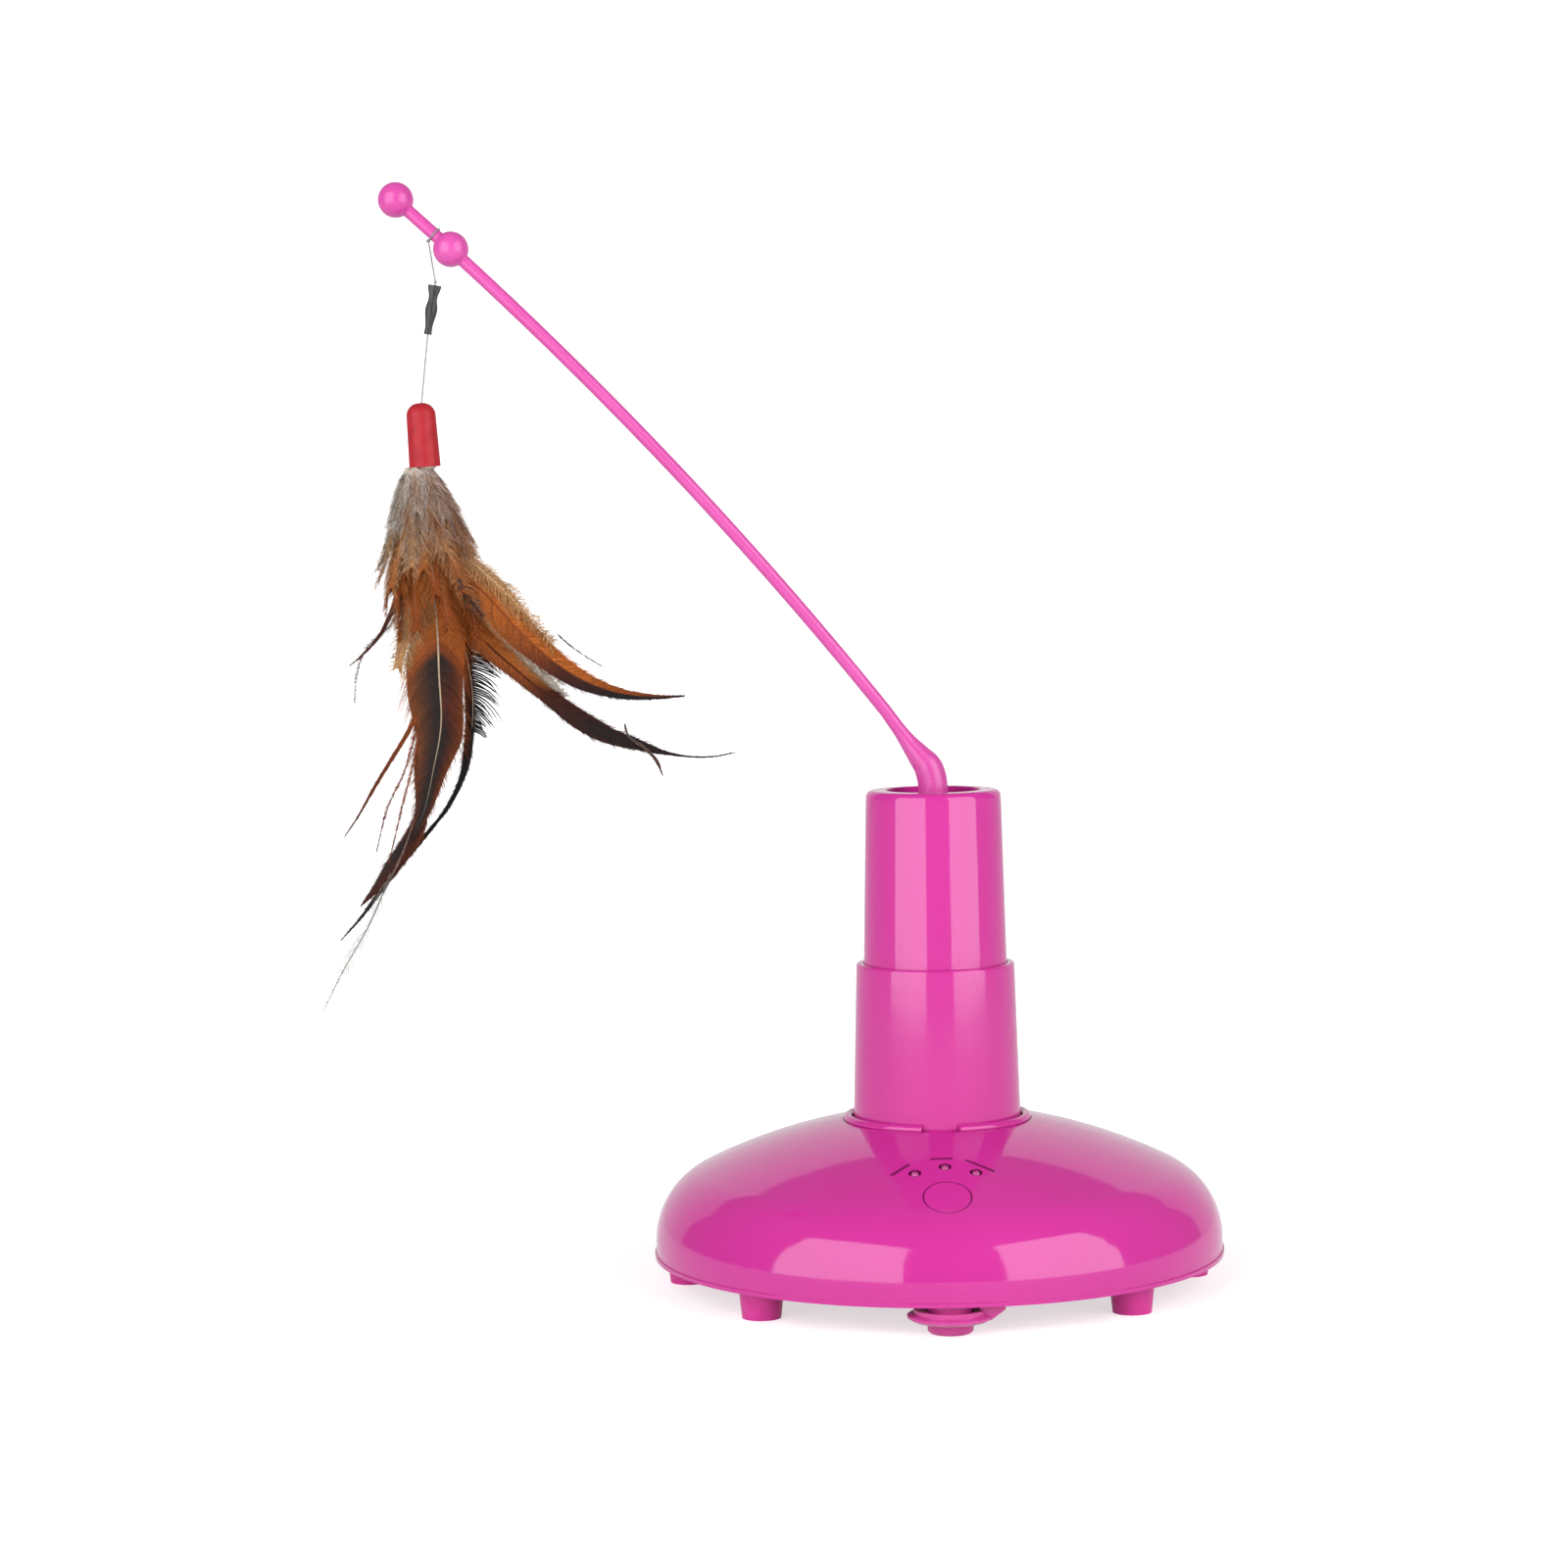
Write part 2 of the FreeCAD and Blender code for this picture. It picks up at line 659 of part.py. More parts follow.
# The wheels: each stage lies on its own level of the gear room
floor = value(GEAR_FLOOR)
ceiling = value(GEAR_CEILING)
output_teeth = int(value("output_teeth"))
wheel_teeth = int(value("wheel_teeth"))
pinion_teeth = int(value("pinion_teeth"))
play = value("loose_fit")
running = value("running_fit")
wheel_width = value("wheel_width")
stage_rise = value("stage_rise")
first_level = floor + 1
second_level = first_level + stage_rise
output_level = second_level + stage_rise

output_shape = gear_wheel(output_teeth, output_level, wheel_width, output_centre, 0)
output_shape = output_shape.fuse(bar(value("output_boss_radius"), floor + play, ceiling - play, output_centre))
output_shape = output_shape.cut(bar(value("shaft_radius"), floor, ceiling, output_centre))
finished("output_gear", output_shape)


def stepped_gear(node, middle, level, wheel_phase, pinion_phase):
    """A wheel and a pinion in one moulding, on a tube that runs on a fixed steel pin."""
    shape = gear_wheel(wheel_teeth, level, wheel_width, middle, wheel_phase)
    pinion_foot = level + wheel_width
    pinion = gear_wheel(pinion_teeth, pinion_foot, stage_rise + 0.5, middle, pinion_phase)
    shape = shape.fuse(pinion)
    shape = shape.fuse(bar(value("gear_boss_radius"), floor + play, ceiling - play, middle))
    shape = shape.cut(bar(value("pin_radius + running_fit"), floor, ceiling, middle))
    return finished(node, shape)


second_pinion_phase = mating_phase(0, output_teeth, pinion_teeth, output_centre, second_centre)
first_pinion_phase = mating_phase(0, wheel_teeth, pinion_teeth, second_centre, first_centre)
motor_pinion_phase = mating_phase(0, wheel_teeth, pinion_teeth, first_centre, motor_centre)
stepped_gear("second_gear", second_centre, second_level, 0, second_pinion_phase)
stepped_gear("first_gear", first_centre, first_level, 0, first_pinion_phase)

motor_pinion = gear_wheel(pinion_teeth, first_level - 0.6, wheel_width + 1.4, motor_centre, motor_pinion_phase)
motor_pinion = motor_pinion.cut(bar(value("motor_shaft_radius"), floor, ceiling, motor_centre))
finished("motor_pinion", motor_pinion)
motor_foot = value(GEARBOX_FOOT + " - motor_length - motor_cap_length")
motor_shaft = bar(value("motor_shaft_radius"), motor_foot + 1, first_level + wheel_width + 1.2, motor_centre)
finished("motor_shaft", motor_shaft)
pin_radius = value("pin_radius")
finished("gear_pins", Part.makeCompound([
    bar(pin_radius, floor - 1.5, ceiling + 1.5, first_centre),
    bar(pin_radius, floor - 1.5, ceiling + 1.5, second_centre)]))
finished("output_shaft", bar(value("shaft_radius"), floor - 1.6, value("hub_top - peg_socket_depth - 1"),
                             output_centre))


def turned_to_motor(item):
    """Set an item that is drawn at the origin on the motor's axis, square to the line to the tower's."""
    item.Placement = Placement(motor_centre, Rotation(Vector(0, 0, 1), motor_turn + 90))
    return item


# Motor: a drawn steel can with two flats and a nose, and a plastic end cap with two tags
MOTOR_TOP = GEARBOX_FOOT
CAN_FOOT = "(%s - motor_length)" % GEARBOX_FOOT
can = shared("can_shape", disc("can_round", "motor_radius", "motor_length", z=CAN_FOOT),
             block("can_flats", "2 * motor_radius + 2", "motor_flat", "motor_length", z=CAN_FOOT))
nose = disc("can_nose", "motor_boss_radius", "1.6", z=MOTOR_TOP)
can_bore = disc("can_bore", "motor_shaft_radius + running_fit", "motor_length + 4", z=CAN_FOOT + " - 1")
keep(turned_to_motor(cut("motor_can_cut", joined("can_with_nose", [can, nose]), [can_bore])), "motor_can")
cap_body = shared("end_cap_shape",
                  disc("end_cap_round", "motor_radius", "motor_cap_length", z=CAN_FOOT + " - motor_cap_length"),
                  block("end_cap_flats", "2 * motor_radius + 2", "motor_flat", "motor_cap_length",
                        z=CAN_FOOT + " - motor_cap_length"))
cap_bore = disc("end_cap_bore", "motor_shaft_radius + running_fit", "motor_cap_length",
                z=CAN_FOOT + " - motor_cap_length + 0.9")
keep(turned_to_motor(cut("end_cap_cut", cap_body, [cap_bore])), "motor_end_cap")
tags = [block("tag_%d" % (side + 1), "2", "0.4", "tag_length", x="%d * 6" % side,
              z=CAN_FOOT + " - motor_cap_length - tag_length") for side in (-1, 1)]
keep(turned_to_motor(joined("tag_pair", tags)), "motor_tags")

# Gearbox base with the cradle that grips the motor's flats
clips = []
for side in (-1, 1):
    clips.append(block("clip_%d" % (side + 1), "9", "1.6", "13", y="%d * (motor_flat / 2 + 0.85)" % side,
                       z=GEARBOX_FOOT + " - 12.9"))
cradle = turned_to_motor(joined("motor_cradle", clips))
nose_hole = turned_to_motor(disc("nose_hole", "motor_boss_radius + seat_gap", "gearbox_plate + 2",
                                 z=GEARBOX_FOOT + " - 1"))
pin_holes = document.addObject("Part::Feature", "pin_holes")
pin_holes.Shape = Part.makeCompound([bar(pin_radius, floor - 1.5, ceiling + 1.5, first_centre),
                                     bar(pin_radius, floor - 1.5, ceiling + 1.5, second_centre)])
lower_bearing = disc("lower_bearing", "shaft_radius + running_fit", "2", z=GEAR_FLOOR + " - 1.7")
base_plate = disc("base_plate", "gearbox_radius", "gearbox_plate", z=GEARBOX_FOOT)
keep(cut("gearbox_base_cut", joined("gearbox_base_body", [base_plate, cradle] + pillars),
         [nose_hole, pin_holes, lower_bearing] + frame_holes), "gearbox_base")
cover_plate = disc("cover_plate", "gearbox_radius", "gearbox_plate", z=GEAR_CEILING)
bush_hole = disc("bush_hole", "bush_radius", "gearbox_plate + 2", z=GEAR_CEILING + " - 1")
keep(cut("gearbox_cover_cut", cover_plate, [bush_hole, pin_holes] + cover_holes), "gearbox_cover")
bush = joined("bush_body", [disc("bush_tube", "bush_radius", "gearbox_plate", z=GEAR_CEILING),
                            disc("bush_flange", "bush_flange_radius", "bush_flange_height", z="gearbox_top")])
keep(cut("bush_cut", bush, [disc("bush_bore", "shaft_radius + running_fit", "gearbox_plate + 3",
                                 z=GEAR_CEILING + " - 1")]), "output_bush")

# Wand hub: pressed on the output shaft below, with a keyed socket for the wand's peg on top
HUB_FOOT = "(gearbox_top + bush_flange_height + loose_fit)"
SOCKET_FOOT = "(hub_top - peg_socket_depth)"
hub_body = joined("hub_body", [
    disc("hub_tube", "hub_radius", "hub_top - %s" % HUB_FOOT, z=HUB_FOOT),
    disc("hub_disc", "hub_disc_radius", "hub_disc_height", z="hub_top - hub_disc_height")])
peg_round = disc("peg_hole_round", "wand_peg_radius + running_fit", "peg_socket_depth + 1", z=SOCKET_FOOT)
peg_keyed = block("peg_hole_keyed", "2 * wand_peg_radius + 2", "2 * (wand_peg_flat + running_fit)",
                  "peg_socket_depth + 1", z=SOCKET_FOOT)
shaft_hole = disc("hub_shaft_hole", "shaft_radius", "%s - 1 - %s + 1" % (SOCKET_FOOT, HUB_FOOT),
                  z=HUB_FOOT + " - 1")
keep(cut("hub_cut", hub_body, [shared("peg_hole", peg_round, peg_keyed), shaft_hole]), "wand_hub")

# Wand: one moulding. The root stands in the hub, swells, leans over and thins into the bowed rod.
peg = shared("wand_peg",
             disc("wand_peg_round", "wand_peg_radius", "peg_socket_depth - seat_gap",
                  z=SOCKET_FOOT + " + 2 * seat_gap"),
             block("wand_peg_keyed", "2 * wand_peg_radius + 2", "2 * wand_peg_flat",
                   "peg_socket_depth - seat_gap", z=SOCKET_FOOT + " + 2 * seat_gap"))
STUB_FOOT = "(hub_top + seat_gap)"
STUB_TOP = "(tower_height + 2)"
stub = disc("wand_stub", "root_radius", "%s - %s" % (STUB_TOP, STUB_FOOT), z=STUB_FOOT)


def ring_section(name, radius, across, up, lean):
    """A round section of the wand in a plane that leans from the horizontal towards the tip's side."""
    circle = document.addObject("Part::Circle", name)
    along(circle, Vector(0, 1, 0))
    return tie(circle, Radius=radius, x="-1 * (%s)" % across, z=up, turn="0 - (%s)" % lean)


START_RISE = "(rod_start_height - %s)" % STUB_TOP
root_rings = [
    ring_section("root_ring_0", "root_radius", "0", STUB_TOP, "0"),
    ring_section("root_ring_1", "1.01 * root_radius", "0.02 * rod_start_across",
                 STUB_TOP + " + 0.137 * " + START_RISE, "14"),
    ring_section("root_ring_2", "root_radius", "0.108 * rod_start_across",
                 STUB_TOP + " + 0.256 * " + START_RISE, "27"),
    ring_section("root_ring_3", "0.8 * root_radius", "0.343 * rod_start_across",
                 STUB_TOP + " + 0.412 * " + START_RISE, "36"),
    ring_section("root_ring_4", "1.33 * rod_radius", "0.518 * rod_start_across",
                 STUB_TOP + " + 0.569 * " + START_RISE, "38"),
    ring_section("root_ring_5", "rod_radius", "rod_start_across", "rod_start_height", "rod_lean"),
]
root = document.addObject("Part::Loft", "wand_root")
root.Sections = root_rings
root.Solid = True
BOW_ACROSS = "(rod_start_across + bow_radius * cos(rod_lean))"
BOW_HEIGHT = "(rod_start_height - bow_radius * sin(rod_lean))"
spine = document.addObject("Part::Circle", "rod_spine")
along(spine, Vector(1, 0, 0))
tie(spine, Radius="bow_radius", Angle1="rod_lean", Angle2="rod_lean + rod_turn",
    x="-1 * " + BOW_ACROSS, z=BOW_HEIGHT, turn="90")
rod_end = ring_section("rod_end", "rod_radius", "rod_start_across", "rod_start_height", "rod_lean")
rod = document.addObject("Part::Sweep", "wand_rod")
rod.Sections = [rod_end]
rod.Spine = (spine, ["Edge1"])
rod.Solid = True
RAD = "(180 / pi / bow_radius)"
TIP_ANGLE = "(rod_lean + rod_turn)"
SECOND_ANGLE = "(rod_lean + rod_turn - ball_spacing * %s)" % RAD
TIE_ANGLE = "(rod_lean + rod_turn - (ball_spacing - tie_spacing) * %s)" % RAD


def on_bow(angle, inset="0"):
    """Place on the bowed rod's centreline at an angle of its arc, or inset towards the arc's centre."""
    return {"x": "(bow_radius - %s) * cos(%s) - %s" % (inset, angle, BOW_ACROSS),
            "z": "(bow_radius - %s) * sin(%s) + %s" % (inset, angle, BOW_HEIGHT)}


balls = [ball("tip_ball", "ball_radius", **on_bow(TIP_ANGLE)),
         ball("stop_ball", "ball_radius", **on_bow(SECOND_ANGLE))]
keep(joined("wand_moulding", [peg, stub, root, rod] + balls), "wand")

# Line tie: a knotted loop of nylon line round the rod, just beyond the second ball
LOOP_RADIUS = "(rod_radius + line_radius + 0.12)"
KNOT_INSET = "(%s + knot_radius * 0.6)" % LOOP_RADIUS
loop = along(document.addObject("Part::Torus", "tie_loop"), Vector(0, 1, 0))
tie(loop, Radius1=LOOP_RADIUS, Radius2="line_radius", turn="-1 * " + TIE_ANGLE, **on_bow(TIE_ANGLE))
knot = along(document.addObject("Part::Sphere", "tie_knot"), Vector(0, 0, 1))
tie(knot, Radius="knot_radius", turn="180", **on_bow(TIE_ANGLE, KNOT_INSET))
keep(joined("tie_body", [loop, knot]), "line_tie")

pivot_place = on_bow(TIE_ANGLE, KNOT_INSET)
pivot = Vector(value(pivot_place["x"]), 0, value(pivot_place["z"]))
sleeve_top = Vector(-value("sleeve_top_across"), 0, value("sleeve_top_height"))
sleeve_foot = Vector(-value("sleeve_foot_across"), 0, value("sleeve_foot_height"))
cap_top = Vector(-value("cap_top_across"), 0, value("cap_top_height"))
cap_axis = Rotation(Vector(0, 1, 0), -value("cap_tilt")).multVec(Vector(0, 0, 1))
stop_knot = cap_top - cap_axis * value("cap_wall + stop_knot_radius + seat_gap")


def strand(start, end, gap_before=0.0, gap_after=0.0):
    """A straight stretch of the line between two points, which can stop short of either."""
    way = (end - start).normalize()
    first = start + way * gap_before
    return Part.makeCylinder(value("line_radius"), (end - start).Length - gap_before - gap_after, first, way)


seat = value("seat_gap")
sleeve_way = (sleeve_foot - sleeve_top).normalize()
swing_centre = sleeve_top - sleeve_way * value("swing_gap")
swing_knot = Part.makeSphere(value("swing_knot_radius"), swing_centre)
finished("upper_line", strand(pivot, swing_centre, value("knot_radius") + seat).fuse(swing_knot))
stop_ball = Part.makeSphere(value("stop_knot_radius"), stop_knot)
finished("lower_line", strand(sleeve_foot, stop_knot, seat).fuse(stop_ball))

# Sleeve: shrink tube over the line's swivel, with a flared upper end, a waist, a bulge and a tail
sleeve_turn = Rotation(Vector(0, 0, -1), sleeve_way)
sleeve_length = (sleeve_foot - sleeve_top).Length
sleeve_rings = []
for share, across, deep in ((0, 2.4, 1.2), (0.12, 2.1, 1.2), (0.25, 1.6, 1.25), (0.45, 2.15, 1.95),
                            (0.62, 2, 1.9), (0.74, 1.6, 1.5), (1, 1.5, 1.45)):
    section = Part.Ellipse(Vector(0, 0, 0), across, deep).toShape()
    section.Placement = Placement(sleeve_top + sleeve_way * (share * sleeve_length), sleeve_turn)
    sleeve_rings.append(Part.Wire([section]))
finished("swivel_sleeve", Part.makeLoft(sleeve_rings, True, False))

# Rubber cap: a round-topped cup over the quills, drawn upright and then set at its tilt
CAP_INNER = "(cap_radius - cap_wall)"
cap = turned("cap_body", [
    ("cap_radius", "0"),
    ("0.93 * cap_radius", "cap_length - cap_round"),
    ("cap_hole_radius + 0.6", "cap_length"),
    ("cap_hole_radius", "cap_length"),
    ("cap_hole_radius", "cap_length - cap_wall"),
    (CAP_INNER + " - 1", "cap_length - cap_wall"),
    (CAP_INNER, "cap_length - cap_wall - 1.5"),
    (CAP_INNER, "0"),
], {1: "-1 * cap_round"})
along(cap, Vector(0, 1, 0))
tie(cap, turn="-1 * cap_tilt", x="cap_length * sin(cap_tilt) - cap_top_across",
    z="cap_top_height - cap_length * cos(cap_tilt)")
keep(cap, "feather_cap")

# Quill bundle: the feathers' quills bound and glued into the cap
bundle_top = cap_top - cap_axis * value("cap_length - quill_depth")
bundle_foot = cap_top - cap_axis * (value("cap_length") + 0.8)
bundle_radius = value(CAP_INNER) - 0.05
finished("quill_bundle", Part.makeCylinder(bundle_radius, (bundle_top - bundle_foot).Length, bundle_foot, cap_axis))


def plume(node, offset, stations, first_way=Vector(0, 0, -1)):
    """A closed feather form: a loft through flat lens sections along a bent shaft that lies in one
    upright plane. A station is its place across and up, its half width and its half thickness."""
    rings = []
    for index, (across, up, half_width, half_depth) in enumerate(stations):
        before = stations[index - 1]
        after = stations[min(index + 1, len(stations) - 1)]
        way = Vector(after[0] - before[0], 0, after[1] - before[1]) if index else first_way
        left = Vector(-half_width, 0, 0)
        right = Vector(half_width, 0, 0)
        section = Part.Wire([Part.Arc(left, Vector(0, half_depth, 0), right).toShape(),
                             Part.Arc(right, Vector(0, -half_depth, 0), left).toShape()])
        turn = Rotation(Vector(0, 1, 0), math.degrees(math.atan2(-way.x, -way.z)))
        section.Placement = Placement(Vector(across, offset, up), turn)
        rings.append(section)
    return finished(node, Part.makeLoft(rings, True, False))


# Feathers: a tuft of down under the cap, and the long hackles that fan out of it
foot = value("tuft_foot")
tuft_top = bundle_foot - cap_axis * play
tuft_rings = []
for middle, way, half_width, half_depth in ((tuft_top, cap_axis, 5, 4.8), (Vector(-185.4, 0, 291), cap_axis, 8.4, 7),
                                            (Vector(-184, 0, 277), Vector(0, 0, 1), 13.4, 10),
                                            (Vector(-182.5, 0, foot), Vector(0, 0, 1), 19, 13)):
    section = Part.Ellipse(Vector(0, 0, 0), half_width, half_depth).toShape()
    section.Placement = Placement(middle, Rotation(Vector(0, 0, 1), way))
    tuft_rings.append(Part.Wire([section]))
finished("down_tuft", Part.makeLoft(tuft_rings, True, False))
root_level = foot - 0.4
plume("long_hackle", 0, [
    (-184.5, root_level, 13, 2.6),
    (-183.8, 230, 12.4, 2.6),
    (-182.6, 205, 10.4, 2.2),
    (-187.2, 178, 6.2, 1.6),
    (-211, 141.5, 0.6, 0.4)])
plume("right_hackle_upper", -5.4, [
    (-172, root_level, 6.5, 1.8),
    (-156, 246, 8, 1.8),
    (-138, 232, 6, 1.4),
    (-118, 219, 2.8, 0.9),
    (-90.8, 216.9, 0.5, 0.4)])
plume("right_hackle_lower", 5.4, [
    (-178, root_level, 5, 1.8),
    (-165, 238, 5.5, 1.8),
    (-146, 218, 5.2, 1.4),
    (-122, 202.5, 3, 1),
    (-73, 195.9, 0.5, 0.4)])
plume("dark_hackle", 9.6, [
    (-176, root_level, 3.4, 1.2),
    (-170, 226, 5, 1.2),
    (-172, 200, 4.4, 1.1),
    (-183, 172, 2.4, 0.9),
    (-219.5, 127.8, 0.5, 0.4)])
plume("grey_hackle", -9.4, [
    (-187, root_level, 3.4, 1.2),
    (-190, 220, 3.4, 1.2),
    (-193, 180, 2.6, 1),
    (-201, 146.9, 1.6, 0.8),
    (-224.4, 103.6, 0.5, 0.4)])
plume("left_hackle_upper", 5.4, [
    (-193, root_level, 4, 1.4),
    (-199, 248, 3.2, 1.2),
    (-207, 236, 1.8, 0.9),
    (-214.4, 216, 0.5, 0.4)])
plume("left_hackle_lower", -5.4, [
    (-192, root_level, 4, 1.4),
    (-195, 220, 2.6, 1.2),
    (-202, 191, 1.6, 0.9),
    (-216.4, 168, 0.5, 0.4)])

# Mode button: a cap whose top follows the dome, on a flange and a stem over the switch
cap_bar = disc("button_bar", "button_radius", "collar_height - button_flange_bottom", y="-button_circle",
               z="button_flange_bottom")
button_cap = shared("button_cap", cap_bar, dome_envelope)
button_flange = disc("button_flange_ring", "button_radius + button_flange", "button_flange_thickness",
                     y="-button_circle", z="button_flange_bottom")
PLUNGER_TOP = "(board_top + switch_height + plunger_rise)"
button_stem = disc("button_stem", "button_stem_radius", "button_flange_bottom - %s" % PLUNGER_TOP,
                   y="-button_circle", z=PLUNGER_TOP)
keep(joined("button_moulding", [button_cap, button_flange, button_stem]), "mode_button")

# Push switch under the button: a body with a well that its plunger runs in
switch_body = block("switch_body", "switch_width", "switch_width", "switch_height", y="-button_circle",
                    z="board_top")
switch_well = disc("switch_well", "plunger_radius + seat_gap", "switch_height", y="-button_circle",
                   z="board_top + 1")
keep(cut("switch_cut", switch_body, [switch_well]), "push_switch")
keep(disc("plunger_bar", "plunger_radius", "plunger_rise + button_travel + 0.4", y="-button_circle",
          z="board_top + switch_height - button_travel - 0.4"), "switch_plunger")

# Control board, its chip, its four screws and the three lights on their legs
board_blank = block("board_blank", "board_length", "board_width", "board_thickness", y="-board_centre",
                    z="board_top - board_thickness")
board_holes = []
board_screws = []
for count, (across, away) in enumerate(BOARD_BOSSES):
    board_holes.append(disc("board_hole_%d" % count, "screw_radius + seat_gap", "board_thickness + 2",
                            x=across, y=away, z="board_top - board_thickness - 1"))
    board_screws += screw("board_screw_%d" % count, "7", x=across, y=away, z="board_top - board_thickness")
keep(cut("board_cut", board_blank, board_holes), "circuit_board")
keep(joined("board_screw_set", board_screws), "board_screws")
keep(block("chip", "10", "6", "1.6", x="9", y="10 - board_centre", z="board_top"), "controller_chip")
lights = []
for count, (across, away) in enumerate(LIGHTS):
    top = dome_over(across, away) + " + 0.5"
    lights.append(disc("light_body_%d" % count, "light_radius", "light_length - light_radius", x=across, y=away,
                       z=top + " - light_length"))
    lights.append(ball("light_dome_%d" % count, "light_radius", x=across, y=away, z=top + " - light_radius"))
    for side in (-1, 1):
        lights.append(block("light_leg_%d_%d" % (count, side + 1), "0.5", "0.5",
                            "%s - light_length - board_top + 0.4" % top, x="%s + %d * 0.9" % (across, side),
                            y=away, z="board_top"))
keep(joined("light_set", lights), "indicator_lights")

# Bottom plate with the battery room
ROOM_LENGTH = "(cell_length + cell_nub_length + 2 * contact_reach + 2 * contact_plate)"
ROOM_WIDTH = "(cell_count * cell_pitch + 1)"
ROOM_FOOT = "(plate_height + door_thickness + seat_gap)"
ROOM_HEIGHT = "(2 * cell_radius + 1.2)"
CELL_AXIS = "(%s + 0.4 + cell_radius)" % ROOM_FOOT
DOOR_LENGTH = "(%s + 2 * door_margin)" % ROOM_LENGTH
DOOR_WIDTH = "(%s + 2 * door_margin + door_strip)" % ROOM_WIDTH
DOOR_CENTRE = "(room_centre - door_strip / 2)"
STRIP_CENTRE = "(room_centre - %s / 2 - door_margin - door_strip / 2)" % ROOM_WIDTH
plate_disc = disc("plate_disc", WALL_RADIUS + " - shell_wall - loose_fit", "plate_thickness", z="plate_height")
rim_outer = disc("plate_rim_outer", WALL_RADIUS + " - shell_wall - loose_fit", "plate_rim_height", z="plate_height")
rim_inner = disc("plate_rim_inner", WALL_RADIUS + " - shell_wall - loose_fit - plate_rim_wall",
                 "plate_rim_height + 2", z="plate_height - 1")
room_shell = block("room_shell", ROOM_LENGTH + " + 2 * room_wall", ROOM_WIDTH + " + 2 * room_wall",
                   ROOM_HEIGHT + " + room_wall / 2", y="room_centre", z=ROOM_FOOT)
strip_shelf = block("strip_shelf", DOOR_LENGTH + " + 2", "door_strip + 3", "2", y=STRIP_CENTRE, z=ROOM_FOOT)
strip_boss = disc("strip_boss", "boss_radius + 0.6", "9", y=STRIP_CENTRE, z=ROOM_FOOT)
strip_pilot = pilot("strip_pilot", "8", y=STRIP_CENTRE, z=ROOM_FOOT + " - 1")
room_space = block("room_space", ROOM_LENGTH, ROOM_WIDTH, ROOM_HEIGHT + " + 1", y="room_centre", z=ROOM_FOOT + " - 1")
door_opening = block("door_opening", DOOR_LENGTH + " + 2 * loose_fit", DOOR_WIDTH + " + 2 * loose_fit",
                     "door_thickness + seat_gap + 0.2", y=DOOR_CENTRE, z="plate_height - 0.2")
DOOR_EDGE = "(%s + %s / 2)" % (DOOR_CENTRE, DOOR_WIDTH)
plate_cuts = [room_space, strip_pilot]
tongues = []
for side in (-1, 1):
    tongues.append(block("tongue_%d" % (side + 1), "8", "4", "1", x="%d * 18" % side, y=DOOR_EDGE,
                         z="plate_height + door_thickness - 1"))
    plate_cuts.append(block("tongue_slot_%d" % (side + 1), "8.6", "5.2", "1.3", x="%d * 18" % side, y=DOOR_EDGE,
                            z="plate_height + door_thickness - 1.2"))
for count, turn in enumerate(HOUSING_TURNS):
    plate_cuts.append(disc("plate_hole_%d" % count, "screw_radius + seat_gap", "plate_thickness + 2",
                           z="plate_height - 1", **polar("housing_screw_circle", turn)))
FOOT_TURNS = ["(%d * foot_spacing - 90)" % step for step in (1, 2, 3, 4, 5, 6, 7)]
feet = []
for count, turn in enumerate(FOOT_TURNS):
    place = polar("foot_circle", turn)
    feet.append(taper("foot_%d" % count, "foot_bottom_radius", "foot_top_radius", "plate_height", z="0", **place))
    feet.append(disc("foot_peg_%d" % count, "peg_radius", "plate_thickness + 0.1", z="plate_height", **place))
    feet.append(disc("foot_peg_head_%d" % count, "peg_head_radius", "peg_head_height", z=PLATE_TOP + " + 0.1", **place))
    plate_cuts.append(disc("foot_socket_%d" % count, "peg_radius + running_fit", "plate_thickness + 2",
                           z="plate_height - 1", **place))
plate_cuts.append(disc("front_socket", "peg_radius + running_fit", "plate_thickness + 2", y="-front_foot_circle",
                       z="plate_height - 1"))
rim_ring = cut("plate_rim", rim_outer, [rim_inner])
plate_solid = cut("plate_with_opening", joined("plate_and_rim", [plate_disc, rim_ring]), [door_opening])
keep(cut("bottom_plate_cut", joined("plate_body", [plate_solid, room_shell, strip_shelf, strip_boss]), plate_cuts),
     "bottom_plate")
keep(joined("foot_set", feet), "rubber_feet")

